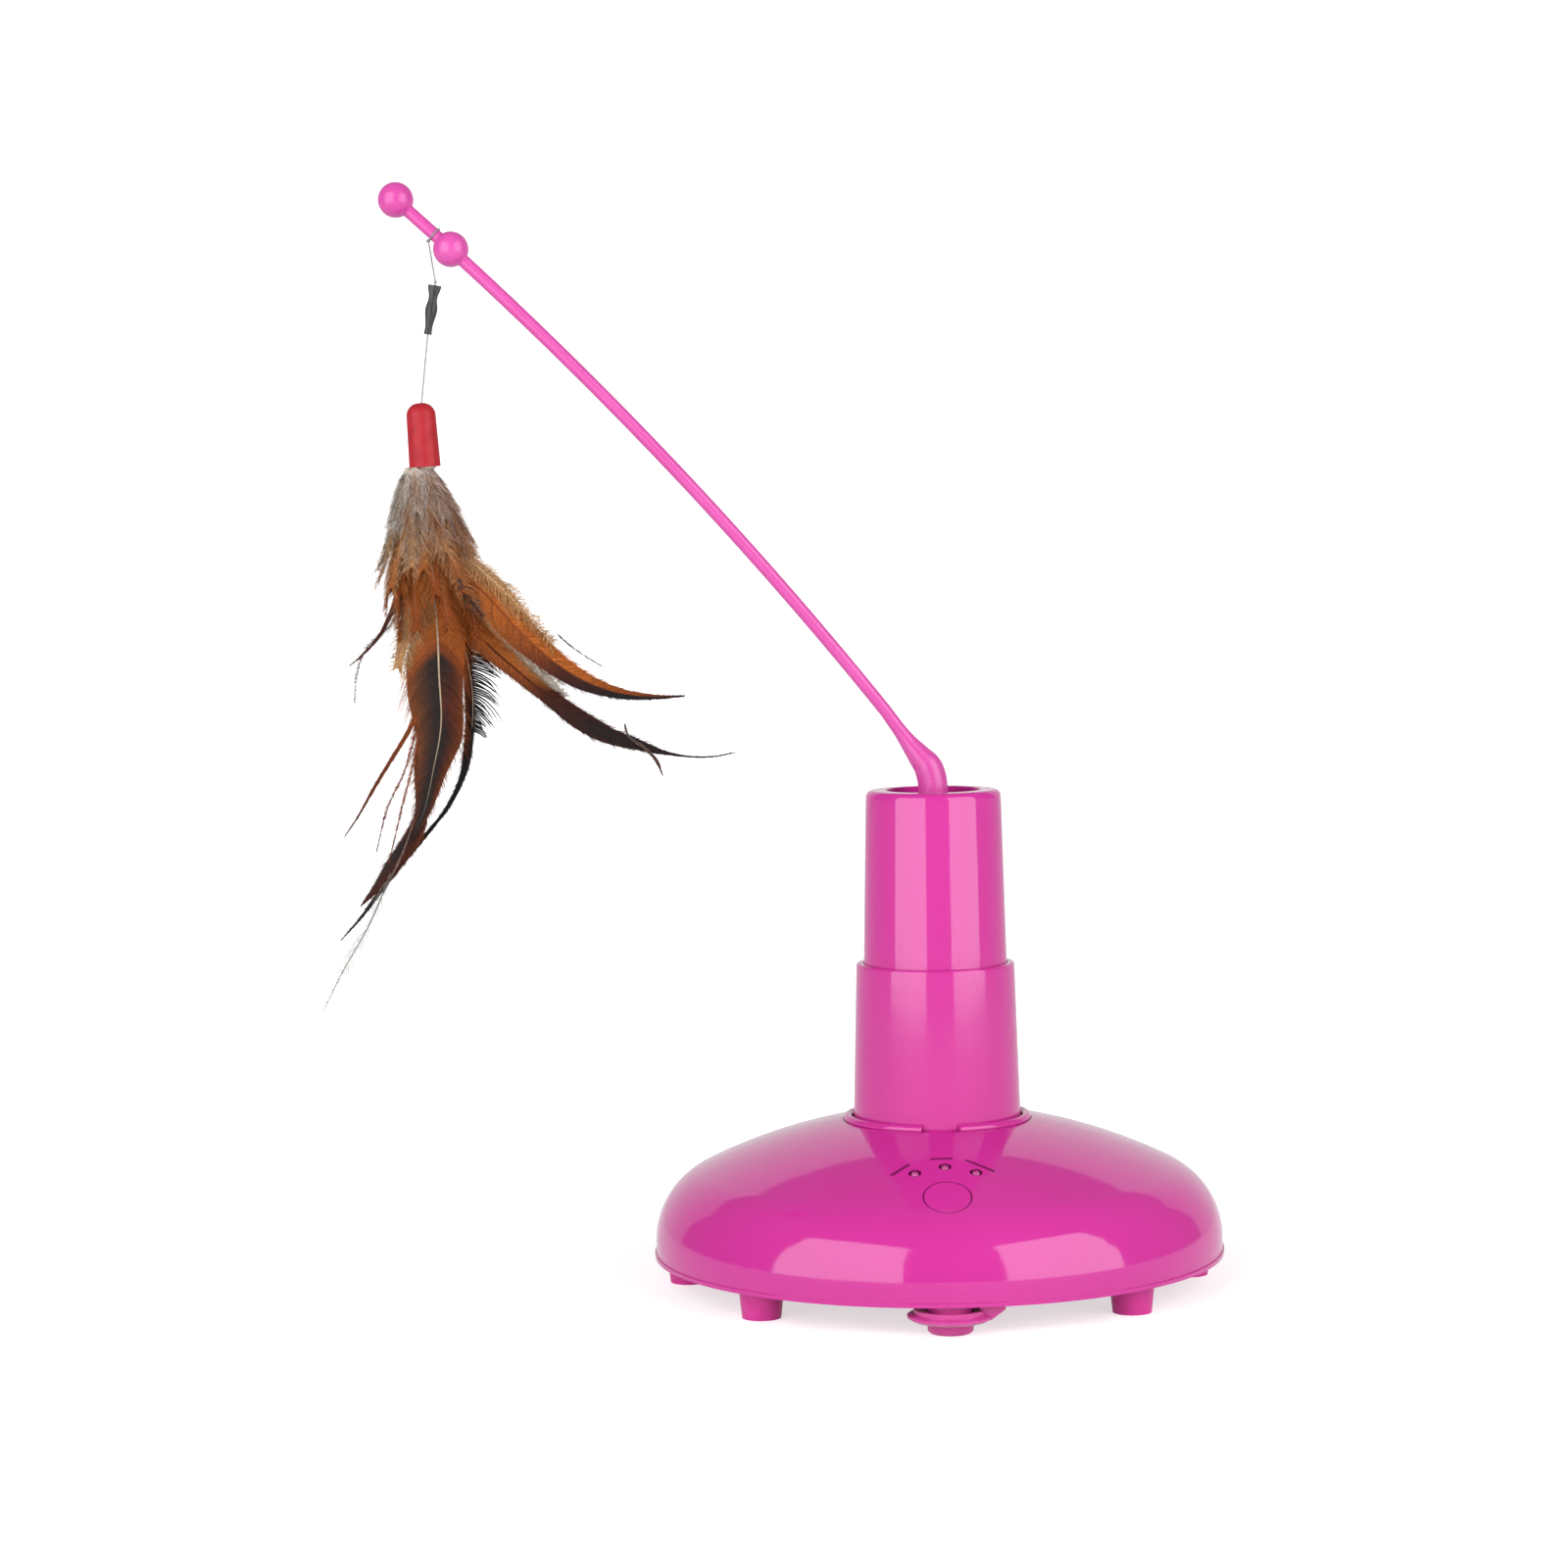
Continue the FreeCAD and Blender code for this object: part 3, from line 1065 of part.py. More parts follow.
# Front foot: a small pad under a dished disc with a raised thumb tab on its right
tab_profile = document.addObject("Part::Feature", "tab_form")
reach = value("tab_reach")
dish = value("dish_radius")
dish_foot = value("dish_height")
tab_top = value("plate_height") - 1.2
tab_front = -value("front_foot_circle") - value("tab_width") / 2
tab_points = [Vector(dish - 5, tab_front, dish_foot + 0.6), Vector(dish - 1.2, tab_front, dish_foot + 0.6),
              Vector(reach, tab_front, tab_top - 1), Vector(reach, tab_front, tab_top),
              Vector(dish - 5, tab_front, tab_top)]
tab_profile.Shape = Part.Face(Part.makePolygon(tab_points + tab_points[:1])).extrude(
    Vector(0, value("tab_width"), 0))
front_foot = turned("front_foot_body", [
    ("0", "0"),
    ("pad_radius - 0.8", "0"),
    ("pad_radius", "0.8"),
    ("pad_radius", "dish_height - 0.4"),
    ("dish_radius - 1.6", "dish_height"),
    ("dish_radius", "dish_height + 1"),
    ("dish_radius", "dish_height + dish_thickness - 0.6"),
    ("dish_radius - 1.2", "dish_height + dish_thickness"),
    ("dish_radius - dish_step", "dish_height + dish_thickness"),
    ("dish_radius - dish_step", "dish_height + dish_thickness + 1.6"),
    ("dish_radius - dish_step - 1.5", "dish_height + dish_thickness + 1.6"),
    ("dish_radius - dish_step - 3.5", "dish_height + dish_thickness + 0.4"),
    ("pad_radius", "dish_height + dish_thickness + 0.4"),
    ("pad_radius", "lip_height - loose_fit"),
    ("pad_radius - 1.5", "lip_height - loose_fit"),
    ("pad_radius - 1.5", "plate_height"),
    ("0", "plate_height"),
])
tie(front_foot, y="-front_foot_circle")
front_peg = disc("front_peg", "peg_radius", "plate_thickness + 0.1", y="-front_foot_circle", z="plate_height")
front_peg_head = disc("front_peg_head", "peg_head_radius", "peg_head_height", y="-front_foot_circle",
                      z=PLATE_TOP + " + 0.1")
keep(joined("front_foot_moulding", [front_foot, tab_profile, front_peg, front_peg_head]), "front_foot")

housing_screws = []
for count, turn in enumerate(HOUSING_TURNS):
    housing_screws += screw("housing_screw_%d" % count, "housing_screw_length", z="plate_height",
                            **polar("housing_screw_circle", turn))
keep(joined("housing_screw_set", housing_screws), "housing_screws")

# Battery door with two tongues and one screw
door_panel = block("door_panel", DOOR_LENGTH, DOOR_WIDTH, "door_thickness", y=DOOR_CENTRE, z="plate_height")
door_hole = disc("door_hole", "screw_radius + seat_gap", "door_thickness + 2", y=STRIP_CENTRE, z="plate_height - 1")
keep(cut("door_cut", joined("door_body", [door_panel] + tongues), [door_hole]), "battery_door")
keep(joined("door_screw_set", screw("door_fixing", "8", x="0", y=STRIP_CENTRE, z="plate_height")), "door_screw")

# Three round cells that lie head to tail, with a spring at each flat end and a stud at each nub
cells = []
springs = []
studs = []
for count in range(int(value("cell_count"))):
    side = 1 if count % 2 == 0 else -1
    row = "(room_centre + (%d - (cell_count - 1) / 2) * cell_pitch)" % count
    tube = along(document.addObject("Part::Cylinder", "cell_tube_%d" % count), Vector(0, 1, 0))
    tie(tube, Radius="cell_radius", Height="cell_length", turn="90",
        x="-1 * cell_length / 2 - %d * cell_nub_length / 2" % side, y=row, z=CELL_AXIS)
    nub = along(document.addObject("Part::Cylinder", "cell_nub_%d" % count), Vector(0, 1, 0))
    tie(nub, Radius="cell_nub_radius", Height="cell_nub_length", turn="%d * 90" % side,
        x="%d * (cell_length / 2 - cell_nub_length / 2)" % side, y=row, z=CELL_AXIS)
    cells.append(joined("cell_%d" % count, [tube, nub]))
    for end in (-1, 1):
        wall = "%d * (%s / 2)" % (end, ROOM_LENGTH)
        plate = block("contact_plate_%d_%d" % (count, end + 1), "contact_plate", "10", "11",
                      x="%d * (%s / 2 - contact_plate / 2)" % (end, ROOM_LENGTH), y=row, z=CELL_AXIS + " - 5.5")
        raised = along(document.addObject("Part::Cone", "contact_point_%d_%d" % (count, end + 1)), Vector(0, 1, 0))
        flat_end = end != side
        tie(raised, Radius1="4.6" if flat_end else "3", Radius2="3" if flat_end else "2.4",
            Height="contact_reach - seat_gap", turn="%d * 90" % -end,
            x="%d * (%s / 2 - contact_plate)" % (end, ROOM_LENGTH), y=row, z=CELL_AXIS)
        (springs if flat_end else studs).append(joined("contact_%d_%d" % (count, end + 1), [plate, raised]))
keep(joined("cell_set", cells), "batteries")
keep(joined("spring_set", springs), "battery_springs")
keep(joined("stud_set", studs), "battery_studs")


def lead(points, radius):
    """An insulated lead: straight runs joined by arcs that are as wide as the runs on both sides allow."""
    edges = []
    radii = []
    start = points[0]
    for before, middle, after in zip(points, points[1:], points[2:]):
        arriving = (middle - before).normalize()
        leaving = (after - middle).normalize()
        half_turn = arriving.getAngle(leaving) / 2
        reach = 0.45 * min((middle - before).Length, (after - middle).Length)
        bend = reach / math.tan(half_turn)
        first = middle - arriving * reach
        last = middle + leaving * reach
        inward = (leaving - arriving).normalize()
        crest = middle + inward * (bend / math.cos(half_turn) - bend)
        edges.append(Part.LineSegment(start, first).toShape())
        edges.append(Part.Arc(first, crest, last).toShape())
        radii.append(bend)
        start = last
    edges.append(Part.LineSegment(start, points[-1]).toShape())
    ring = Part.Wire([Part.Circle(points[0], points[1] - points[0], radius).toShape()])
    path = Part.Wire(edges)
    tube = path.makePipeShell([ring], True, False)
    share = tube.Volume / (math.pi * radius ** 2 * path.Length)
    print("lead: bend radii", [round(bend, 1) for bend in radii], "volume share", round(share, 4))
    return tube


# Leads: two from the motor's tags down through the tower's foot, two from the battery room, all to the
# rear edge of the board
lead_radius = value("lead_radius")
tag_foot = value(CAN_FOOT + " - motor_cap_length - tag_length") - seat
board_rear = -value("board_centre") + value("board_width") / 2 - 3
board_face = value("board_top") + 2 * seat
roof = value(ROOM_FOOT + " + " + ROOM_HEIGHT + " + room_wall / 2")
neck = value(RECESS_FLOOR + " - shell_wall")
motor_leads = []
for side in (-1, 1):
    tag = turned_to_motor(document.getObject("tag_pair")).Placement.multVec(Vector(6 * side, 0, 0))
    motor_leads.append(lead([
        Vector(tag.x, tag.y, tag_foot), Vector(tag.x, tag.y, tag_foot - 12),
        Vector(side * 3.6, 1.5, neck + 19), Vector(side * 2.6, -0.5, neck - 1),
        Vector(side * 2.4, -11, roof + 9), Vector(side * 2.2, -27, roof + 7),
        Vector(side * 2, board_rear + 9, roof + 7.4), Vector(side * 2, board_rear + 0.8, board_face + 6.5),
        Vector(side * 2, board_rear, board_face)], lead_radius))
finished("motor_leads", Part.makeCompound(motor_leads))
room_front = value("room_centre - " + ROOM_WIDTH + " / 2 - room_wall") - seat
battery_leads = []
for side in (-1, 1):
    battery_leads.append(lead([
        Vector(side * 17, room_front, value(CELL_AXIS)), Vector(side * 17, room_front - 6, value(CELL_AXIS) + 0.4),
        Vector(side * 16, room_front - 15, board_face + 1), Vector(side * 14.6, board_rear + 13, board_face + 7),
        Vector(side * 14, board_rear + 2.4, board_face + 7.2), Vector(side * 13.9, board_rear, board_face)],
        lead_radius))
finished("battery_leads", Part.makeCompound(battery_leads))

document.recompute()

for item in document.Objects:
    if "Invalid" in item.State or "Error" in item.State:
        raise SystemExit("%s failed: %s" % (item.Name, item.State))
os.makedirs("parts", exist_ok=True)
for piece in pieces:
    shape = piece.Shape
    if shape.isNull() or not shape.isValid() or not shape.Solids:
        raise SystemExit("%s has no valid solid" % piece.Label)
for piece in pieces:
    piece.Shape.exportStep("parts/%s.step" % piece.Label)
    print("%-22s %2d solids %10.1f mm3" % (piece.Label, len(piece.Shape.Solids), piece.Shape.Volume))
print(len(pieces), "nodes")
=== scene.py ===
import math

import bpy
import numpy as np
from mathutils import Matrix


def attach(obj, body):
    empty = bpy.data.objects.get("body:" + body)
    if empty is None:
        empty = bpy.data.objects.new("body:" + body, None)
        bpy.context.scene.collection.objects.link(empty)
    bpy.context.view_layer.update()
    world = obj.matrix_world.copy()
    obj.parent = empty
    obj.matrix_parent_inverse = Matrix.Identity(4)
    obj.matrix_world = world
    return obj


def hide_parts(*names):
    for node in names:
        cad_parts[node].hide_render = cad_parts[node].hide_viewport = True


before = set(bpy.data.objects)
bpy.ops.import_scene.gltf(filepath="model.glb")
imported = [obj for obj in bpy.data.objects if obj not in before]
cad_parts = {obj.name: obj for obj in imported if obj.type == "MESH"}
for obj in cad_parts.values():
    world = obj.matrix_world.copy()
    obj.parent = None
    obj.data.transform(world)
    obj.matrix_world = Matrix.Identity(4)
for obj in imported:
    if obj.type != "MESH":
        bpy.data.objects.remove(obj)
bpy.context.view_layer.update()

# Camera: where the photograph was taken from, 1.4 m in front of the toy and level with the middle of the
# wand, looking slightly down, with a long lens.
lens = bpy.data.cameras.new("photo_lens")
lens.sensor_width = 36
lens.lens = 86.64
camera = bpy.data.objects.new("camera", lens)
camera.matrix_world = (Matrix.Translation((-0.0547, -1.3818, 0.2793))
                       @ Matrix.Rotation(math.radians(90) - 0.0688, 4, "X")
                       @ Matrix.Rotation(-0.0152, 4, "Z"))
bpy.context.scene.collection.objects.link(camera)
bpy.context.scene.camera = camera
bpy.context.scene.view_settings.view_transform = "Standard"


# Hanging line: clear nylon, 0.6 mm thick. It is threaded through the black sleeve and down into the red
# cap, and a stopper knot under the cap's top holds the feathers.
def finish_of(name, colour, roughness, **sockets):
    """A new material whose one shader has this colour and roughness. Further sockets are given by name,
    with _ for a space."""
    finish = bpy.data.materials.new(name)
    finish.use_nodes = True
    shader = finish.node_tree.nodes["Principled BSDF"]
    shader.inputs["Base Color"].default_value = (*colour, 1)
    shader.inputs["Roughness"].default_value = roughness
    for socket, value in sockets.items():
        shader.inputs[socket.replace("_", " ")].default_value = value
    return finish


def add(finish, kind, wires, **settings):
    """Adds one node. A wire goes from an input, by name or number, to a number or another node's output."""
    tree = finish.node_tree
    node = tree.nodes.new("ShaderNode" + kind)
    for name, value in settings.items():
        setattr(node, name, value)
    for name, value in wires.items():
        if isinstance(value, bpy.types.NodeSocket):
            tree.links.new(value, node.inputs[name])
        else:
            node.inputs[name].default_value = value
    return node


def into_shader(finish, **sockets):
    """Wires node outputs into the shader's sockets, given by name, with _ for a space."""
    shader = finish.node_tree.nodes["Principled BSDF"]
    for socket, output in sockets.items():
        finish.node_tree.links.new(output, shader.inputs[socket.replace("_", " ")])


def noise(finish, scale, detail, upright=None):
    """A noise pattern in the piece's own space, drawn out along Z where upright is under 1."""
    place = add(finish, "TexCoord", {}).outputs["Object"]
    if upright:
        place = add(finish, "Mapping", {"Vector": place, "Scale": (1, 1, upright)}).outputs["Vector"]
    return add(finish, "TexNoise", {"Vector": place, "Scale": scale, "Detail": detail}).outputs["Fac"]


def scaled(finish, pattern, low, high):
    """Spreads a pattern's usual 0.3 to 0.7 over low to high."""
    spread = add(finish, "MapRange", {"Value": pattern, "From Min": 0.3, "From Max": 0.7,
                                      "To Min": low, "To Max": high})
    return spread.outputs["Result"]


def mixed(finish, share, first, second):
    """The colour that lies a share of the way from the first to the second."""
    ends = [tone if isinstance(tone, bpy.types.NodeSocket) else (*tone, 1) for tone in (first, second)]
    return add(finish, "Mix", {"Factor": share, 6: ends[0], 7: ends[1]}, data_type="RGBA").outputs[2]


def bump(finish, height, strength, depth):
    """The normal of a surface that a pattern raises and lowers by about the depth."""
    return add(finish, "Bump", {"Height": height, "Strength": strength, "Distance": depth}).outputs["Normal"]


def grained(finish, grain, span, depth):
    """Gives a finish a grain of about this size: its roughness wanders over a span, and the surface goes
    up and down by about the depth."""
    pattern = noise(finish, 1 / grain, 3.0)
    into_shader(finish, Roughness=scaled(finish, pattern, *span), Normal=bump(finish, pattern, 0.5, depth))
    return finish


def two_tone(name, colour, roughness, grain, span, depth, patch, tones, **sockets):
    """A new grained finish whose colour wanders between two tones, in patches of about this size."""
    finish = grained(finish_of(name, colour, roughness, **sockets), grain, span, depth)
    share = scaled(finish, noise(finish, 1 / patch, 2.0), 0.0, 1.0)
    into_shader(finish, Base_Color=mixed(finish, share, *tones))
    return finish


def surface(name, points, faces, finish, body):
    """A new smooth piece from its points and faces, in one finish, riding on a body."""
    mesh = bpy.data.meshes.new(name)
    mesh.from_pydata(points, [], faces)
    mesh.polygons.foreach_set("use_smooth", np.ones(len(mesh.polygons), bool))
    mesh.materials.append(finish)
    piece = bpy.data.objects.new(name, mesh)
    bpy.context.scene.collection.objects.link(piece)
    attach(piece, body)
    return piece


def grid_faces(rows, columns, round_columns=False):
    """The quads of a grid, row by row; with round columns the last column joins the first."""
    span = columns if round_columns else columns - 1
    row, column = np.meshgrid(np.arange(rows - 1), np.arange(span), indexing="ij")
    here = row * columns + column
    beside = row * columns + (column + 1) % columns
    return np.stack([here, beside, beside + columns, here + columns], -1).reshape(-1, 4)


nylon = grained(finish_of("line_nylon", (0.3, 0.3, 0.31), 0.15, Transmission_Weight=0.25, IOR=1.53),
                grain=0.0008, span=(0.08, 0.22), depth=0.00002)
line_radius = 0.0003
line_points = [(-0.1787, 0, 0.36898), (-0.1789, 0, 0.3678), (-0.1804, 0, 0.35895), (-0.1819, 0, 0.3501),
               (-0.18346, 0, 0.33605), (-0.18502, 0, 0.322)]
line_run = bpy.data.curves.new("hanging_line", "CURVE")
line_run.dimensions = "3D"
line_run.bevel_depth = line_radius
line_run.bevel_resolution = 3
spline = line_run.splines.new("NURBS")
spline.points.add(len(line_points) - 1)
for point, place in zip(spline.points, line_points):
    point.co = (*place, 1)
spline.order_u = 3
spline.use_endpoint_u = True
line_run.materials.append(nylon)
hanging_line = bpy.data.objects.new("hanging_line", line_run)
bpy.context.scene.collection.objects.link(hanging_line)
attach(hanging_line, "line")
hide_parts("lower_line")

# The stopper knot is a trefoil of the same line: twice round, and three times out and in on the way.
knot_x, _, knot_z = line_points[-1]
knot_steps, knot_sides = 97, 8
knot_turn, knot_round = np.meshgrid(np.linspace(0, 4 * np.pi, knot_steps),
                                    np.arange(knot_sides) * 2 * np.pi / knot_sides, indexing="ij")
knot_reach = 0.00065 + 0.0003 * np.cos(1.5 * knot_turn) + line_radius * np.cos(knot_round)
knot_points = np.stack([knot_x + knot_reach * np.cos(knot_turn), knot_reach * np.sin(knot_turn),
                        knot_z + 0.0004 * np.sin(1.5 * knot_turn) + line_radius * np.sin(knot_round)], -1)
stopper_knot = surface("stopper_knot", knot_points.reshape(-1, 3), grid_faces(knot_steps, knot_sides, True),
                       nylon, "line")


# Studio: a wide white floor and a white wall well behind the toy, which the camera and the gloss see as
# plain white, and two tall soft boxes left and right of the camera.
def white_set(name, seen, mirrored, albedo):
    """A matt white that camera and glossy rays see with some light added, so that it shows white and
    still keeps the toy's shadow. The camera sees less of that light near the middle of the floor."""
    white = bpy.data.materials.new(name)
    white.use_nodes = True
    tree = white.node_tree
    tree.nodes.remove(tree.nodes["Principled BSDF"])
    rays = add(white, "LightPath", {})
    bent = add(white, "Math", {0: rays.outputs["Is Glossy Ray"], 1: rays.outputs["Is Transmission Ray"]},
               operation="MAXIMUM")
    shine = add(white, "Math", {0: bent.outputs[0], 1: mirrored}, operation="MULTIPLY")
    place = add(white, "TexCoord", {})
    away = add(white, "VectorMath", {0: place.outputs["Object"]}, operation="LENGTH")
    near, far = 0.12, 0.6
    fade = add(white, "MapRange", {"Value": away.outputs["Value"], "From Min": near, "From Max": far,
                                   "To Min": seen, "To Max": 1.0}, interpolation_type="SMOOTHSTEP")
    glow = add(white, "Math", {0: rays.outputs["Is Camera Ray"], 1: fade.outputs["Result"],
                               2: shine.outputs[0]}, operation="MULTIPLY_ADD")
    paint = add(white, "BsdfDiffuse", {"Color": (albedo, albedo, albedo, 1)})
    light = add(white, "Emission", {"Color": (1, 1, 1, 1), "Strength": glow.outputs[0]})
    both = add(white, "AddShader", {0: paint.outputs[0], 1: light.outputs[0]})
    tree.links.new(both.outputs[0], tree.nodes["Material Output"].inputs["Surface"])
    return white


def board(name, corners, finish):
    """A flat four-cornered part of the studio."""
    mesh = bpy.data.meshes.new(name)
    mesh.from_pydata(corners, [], [(0, 1, 2, 3)])
    mesh.materials.append(finish)
    piece = bpy.data.objects.new(name, mesh)
    bpy.context.scene.collection.objects.link(piece)


board("floor", [(-9, -9, 0), (9, -9, 0), (9, 9, 0), (-9, 9, 0)], white_set("floor_white", 0.62, 0.45, 0.7))
board("back_wall", [(-3.1, 2.4, 0), (-3.1, 2.4, 2.1), (3.1, 2.4, 2.1), (3.1, 2.4, 0)],
      white_set("wall_white", 1.0, 0.5, 0.7))


def soft_box(name, centre, width, height, power):
    """A tall soft box that stands upright and faces the middle of the toy."""
    lamp = bpy.data.lights.new(name, "AREA")
    lamp.shape = "RECTANGLE"
    lamp.size, lamp.size_y = width, height
    lamp.energy = power
    box = bpy.data.objects.new(name, lamp)
    turn = math.atan2(-centre[0], centre[1])
    box.matrix_world = (Matrix.Translation(centre) @ Matrix.Rotation(math.pi + turn, 4, "Z")
                        @ Matrix.Rotation(math.radians(90), 4, "X"))
    box.visible_camera = False
    bpy.context.scene.collection.objects.link(box)


soft_box("soft_box_left", (-0.93, -1.02, 0.78), 1.4, 1.6, 24)
soft_box("soft_box_right", (1.05, -0.92, 0.78), 1.3, 1.6, 22.5)

world = bpy.data.worlds.new("studio")
world.use_nodes = True
bpy.context.scene.world = world
sky = world.node_tree.nodes["Background"]
rays = world.node_tree.nodes.new("ShaderNodeLightPath")
level = world.node_tree.nodes.new("ShaderNodeMapRange")
level.inputs["To Min"].default_value = 0.25
level.inputs["To Max"].default_value = 1.0
world.node_tree.links.new(rays.outputs["Is Camera Ray"], level.inputs["Value"])
world.node_tree.links.new(level.outputs["Result"], sky.inputs["Strength"])
sky.inputs["Color"].default_value = (1, 1, 1, 1)


# Dome and tower: mouldings in one glossy magenta plastic, straight from a polished mould, so the gloss is
# nearly that of glass, with faint flow marks and very shallow sinks over the ribs inside.
def dress(finish, *names):
    """Gives CAD nodes a finish in place of the plain one that they were packed with."""
    for name in names:
        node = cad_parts[name]
        if not node.material_slots:
            node.data.materials.append(finish)
        for slot in node.material_slots:
            slot.material = finish


def gloss_pink(name):
    """The magenta gloss, and the output that holds its colour."""
    pink = finish_of(name, (0.56, 0.026, 0.28), 0.08, IOR=1.5)
    flow = noise(pink, 14.0, 2.0)
    haze = noise(pink, 420.0, 5.0)
    sink = noise(pink, 40.0, 1.0)
    colour = mixed(pink, scaled(pink, flow, 0.0, 1.0), (0.545, 0.023, 0.27), (0.575, 0.029, 0.29))
    into_shader(pink, Base_Color=colour, Roughness=scaled(pink, haze, 0.05, 0.11),
                Normal=bump(pink, sink, 0.12, 0.0006))
    return pink, colour


def plan_gap(finish, start, end):
    """Distance in plan from the straight line between two points, found by dropping onto it."""
    way = np.subtract(end, start)
    place = add(finish, "TexCoord", {})
    plan = add(finish, "VectorMath", {0: place.outputs["Object"], 1: (1, 1, 0)}, operation="MULTIPLY")
    gap = add(finish, "VectorMath", {0: plan.outputs["Vector"], 1: (*start, 0)}, operation="SUBTRACT")
    share = add(finish, "VectorMath", {0: gap.outputs["Vector"], 1: (*(way / max(way @ way, 1e-9)), 0)},
                operation="DOT_PRODUCT")
    held = add(finish, "Math", {0: share.outputs["Value"], 1: 0.0}, operation="ADD", use_clamp=True)
    foot = add(finish, "VectorMath", {0: (*way, 0), "Scale": held.outputs[0]}, operation="SCALE")
    return add(finish, "VectorMath", {0: gap.outputs["Vector"], 1: foot.outputs["Vector"]},
               operation="DISTANCE").outputs["Value"]


def within(finish, gap, half_width):
    """1 where a distance is under the half width, with an edge 0.1 mm soft."""
    soft = 0.00005
    edge = add(finish, "MapRange", {"Value": gap, "From Min": half_width - soft,
                                    "From Max": half_width + soft, "To Min": 1.0, "To Max": 0.0})
    return edge.outputs["Result"]


def on_ring(finish, centre, radius, half_width):
    """1 on a ring round a point in plan."""
    past = add(finish, "Math", {0: plan_gap(finish, centre, centre), 1: radius}, operation="SUBTRACT")
    off = add(finish, "Math", {0: past.outputs[0]}, operation="ABSOLUTE")
    return within(finish, off.outputs[0], half_width)


tower_pink, _ = gloss_pink("tower_gloss")
dress(tower_pink, "tower_lower", "tower_upper", "mode_button")

# The dome carries three plain bars pressed over its lights, in the moulding's own colour but darker, and
# painted shade: a dark line painted into the groove round each light and round the button, where shade falls.
dome_pink, dome_colour = gloss_pink("dome_gloss")
bars = (((-0.0187, -0.0668), (-0.0128, -0.0612)), ((-0.0043, -0.0579), (0.0023, -0.0578)),
        ((0.0080, -0.0592), (0.0168, -0.0656)))
lights = ((-0.01076, -0.06724), (0, -0.06375), (0.01076, -0.06724))
button = (0, -0.0821)
masks = [within(dome_pink, plan_gap(dome_pink, start, end), 0.00075) for start, end in bars]
# Painted shade: these dark rings round the lights and the button stand in for the shade in their grooves.
masks += [on_ring(dome_pink, light, 0.0019, 0.00042) for light in lights]
masks.append(on_ring(dome_pink, button, 0.0084, 0.00028))
marks_and_groove_shade = masks[0]
for mask in masks[1:]:
    marks_and_groove_shade = add(dome_pink, "Math", {0: marks_and_groove_shade, 1: mask}, operation="MAXIMUM").outputs[0]
into_shader(dome_pink, Base_Color=mixed(dome_pink, marks_and_groove_shade, dome_colour, (0.17, 0.006, 0.075)))
dress(dome_pink, "base_dome")

# Bottom plate and battery door: the same plastic with a satin face, spark-eroded in the mould. The plate
# is screwed up into the dome, and one screw holds the door.
satin = two_tone("pink_satin", (0.53, 0.03, 0.26), 0.45, grain=0.0005, span=(0.36, 0.54), depth=0.00005,
                 patch=0.02, tones=((0.51, 0.028, 0.25), (0.55, 0.034, 0.275)))
dress(satin, "bottom_plate", "battery_door")

# Feet: seven pink rubber cones pressed into the plate, and in front a wide one with a dished disc and a
# thumb tab, moulded in a clearer, softer pink.
foot = two_tone("foot_rubber", (0.6, 0.026, 0.27), 0.42, grain=0.0007, span=(0.34, 0.5), depth=0.00003,
                patch=0.004, tones=((0.57, 0.023, 0.25), (0.63, 0.03, 0.29)))
dress(foot, "rubber_feet")
clear_foot = two_tone("foot_clear_pink", (0.58, 0.05, 0.29), 0.2, grain=0.001, span=(0.12, 0.26),
                      depth=0.00003, patch=0.004, tones=((0.55, 0.045, 0.27), (0.61, 0.06, 0.31)))
dress(clear_foot, "front_foot")

# Screws, gear pins and shafts: drawn steel wire, zinc plated and tumbled, with fine scratches. The screws
# are driven into bosses, the pins pressed into the gearbox.
steel = two_tone("steel", (0.6, 0.6, 0.61), 0.3, grain=0.0004, span=(0.2, 0.42), depth=0.00001,
                 patch=0.002, tones=((0.55, 0.55, 0.56), (0.66, 0.66, 0.65)), Metallic=1.0)
dress(steel, "door_screw", "housing_screws", "board_screws", "tower_screws", "joint_screws", "gearbox_screws",
      "motor_shaft", "gear_pins", "output_shaft")

# Batteries: round cells with a dull metallic jacket, held between bright sprung contacts of plated wire
# and strip.
jacket = two_tone("battery_can", (0.28, 0.29, 0.32), 0.4, grain=0.001, span=(0.3, 0.5), depth=0.00002,
                  patch=0.006, tones=((0.25, 0.26, 0.29), (0.32, 0.33, 0.36)), Metallic=0.8)
dress(jacket, "batteries")
spring = two_tone("spring_steel", (0.72, 0.72, 0.73), 0.2, grain=0.0005, span=(0.12, 0.3), depth=0.00001,
                  patch=0.003, tones=((0.68, 0.68, 0.69), (0.76, 0.76, 0.75)), Metallic=1.0)
dress(spring, "battery_springs", "battery_studs")

# Control board: green lacquer over copper tracks, which show as paler lines, with a black chip and a
# black push switch. Four screws hold it under the dome.
green = finish_of("board_green", (0.02, 0.17, 0.06), 0.3, Coat_Weight=0.3)
place = add(green, "TexCoord", {}).outputs["Object"]
tracks = add(green, "TexWave", {"Vector": place, "Scale": 260.0, "Distortion": 3.0, "Detail": 1.0},
             bands_direction="DIAGONAL").outputs["Fac"]
copper = mixed(green, scaled(green, tracks, 0.0, 1.0), (0.015, 0.14, 0.05), (0.05, 0.26, 0.09))
into_shader(green, Base_Color=copper, Normal=bump(green, tracks, 0.3, 0.00004),
            Roughness=scaled(green, tracks, 0.25, 0.38))
dress(green, "circuit_board")
black = two_tone("black_plastic", (0.025, 0.025, 0.026), 0.4, grain=0.0005, span=(0.32, 0.5), depth=0.00002,
                 patch=0.003, tones=((0.02, 0.02, 0.021), (0.035, 0.035, 0.036)))
dress(black, "controller_chip", "push_switch", "switch_plunger")

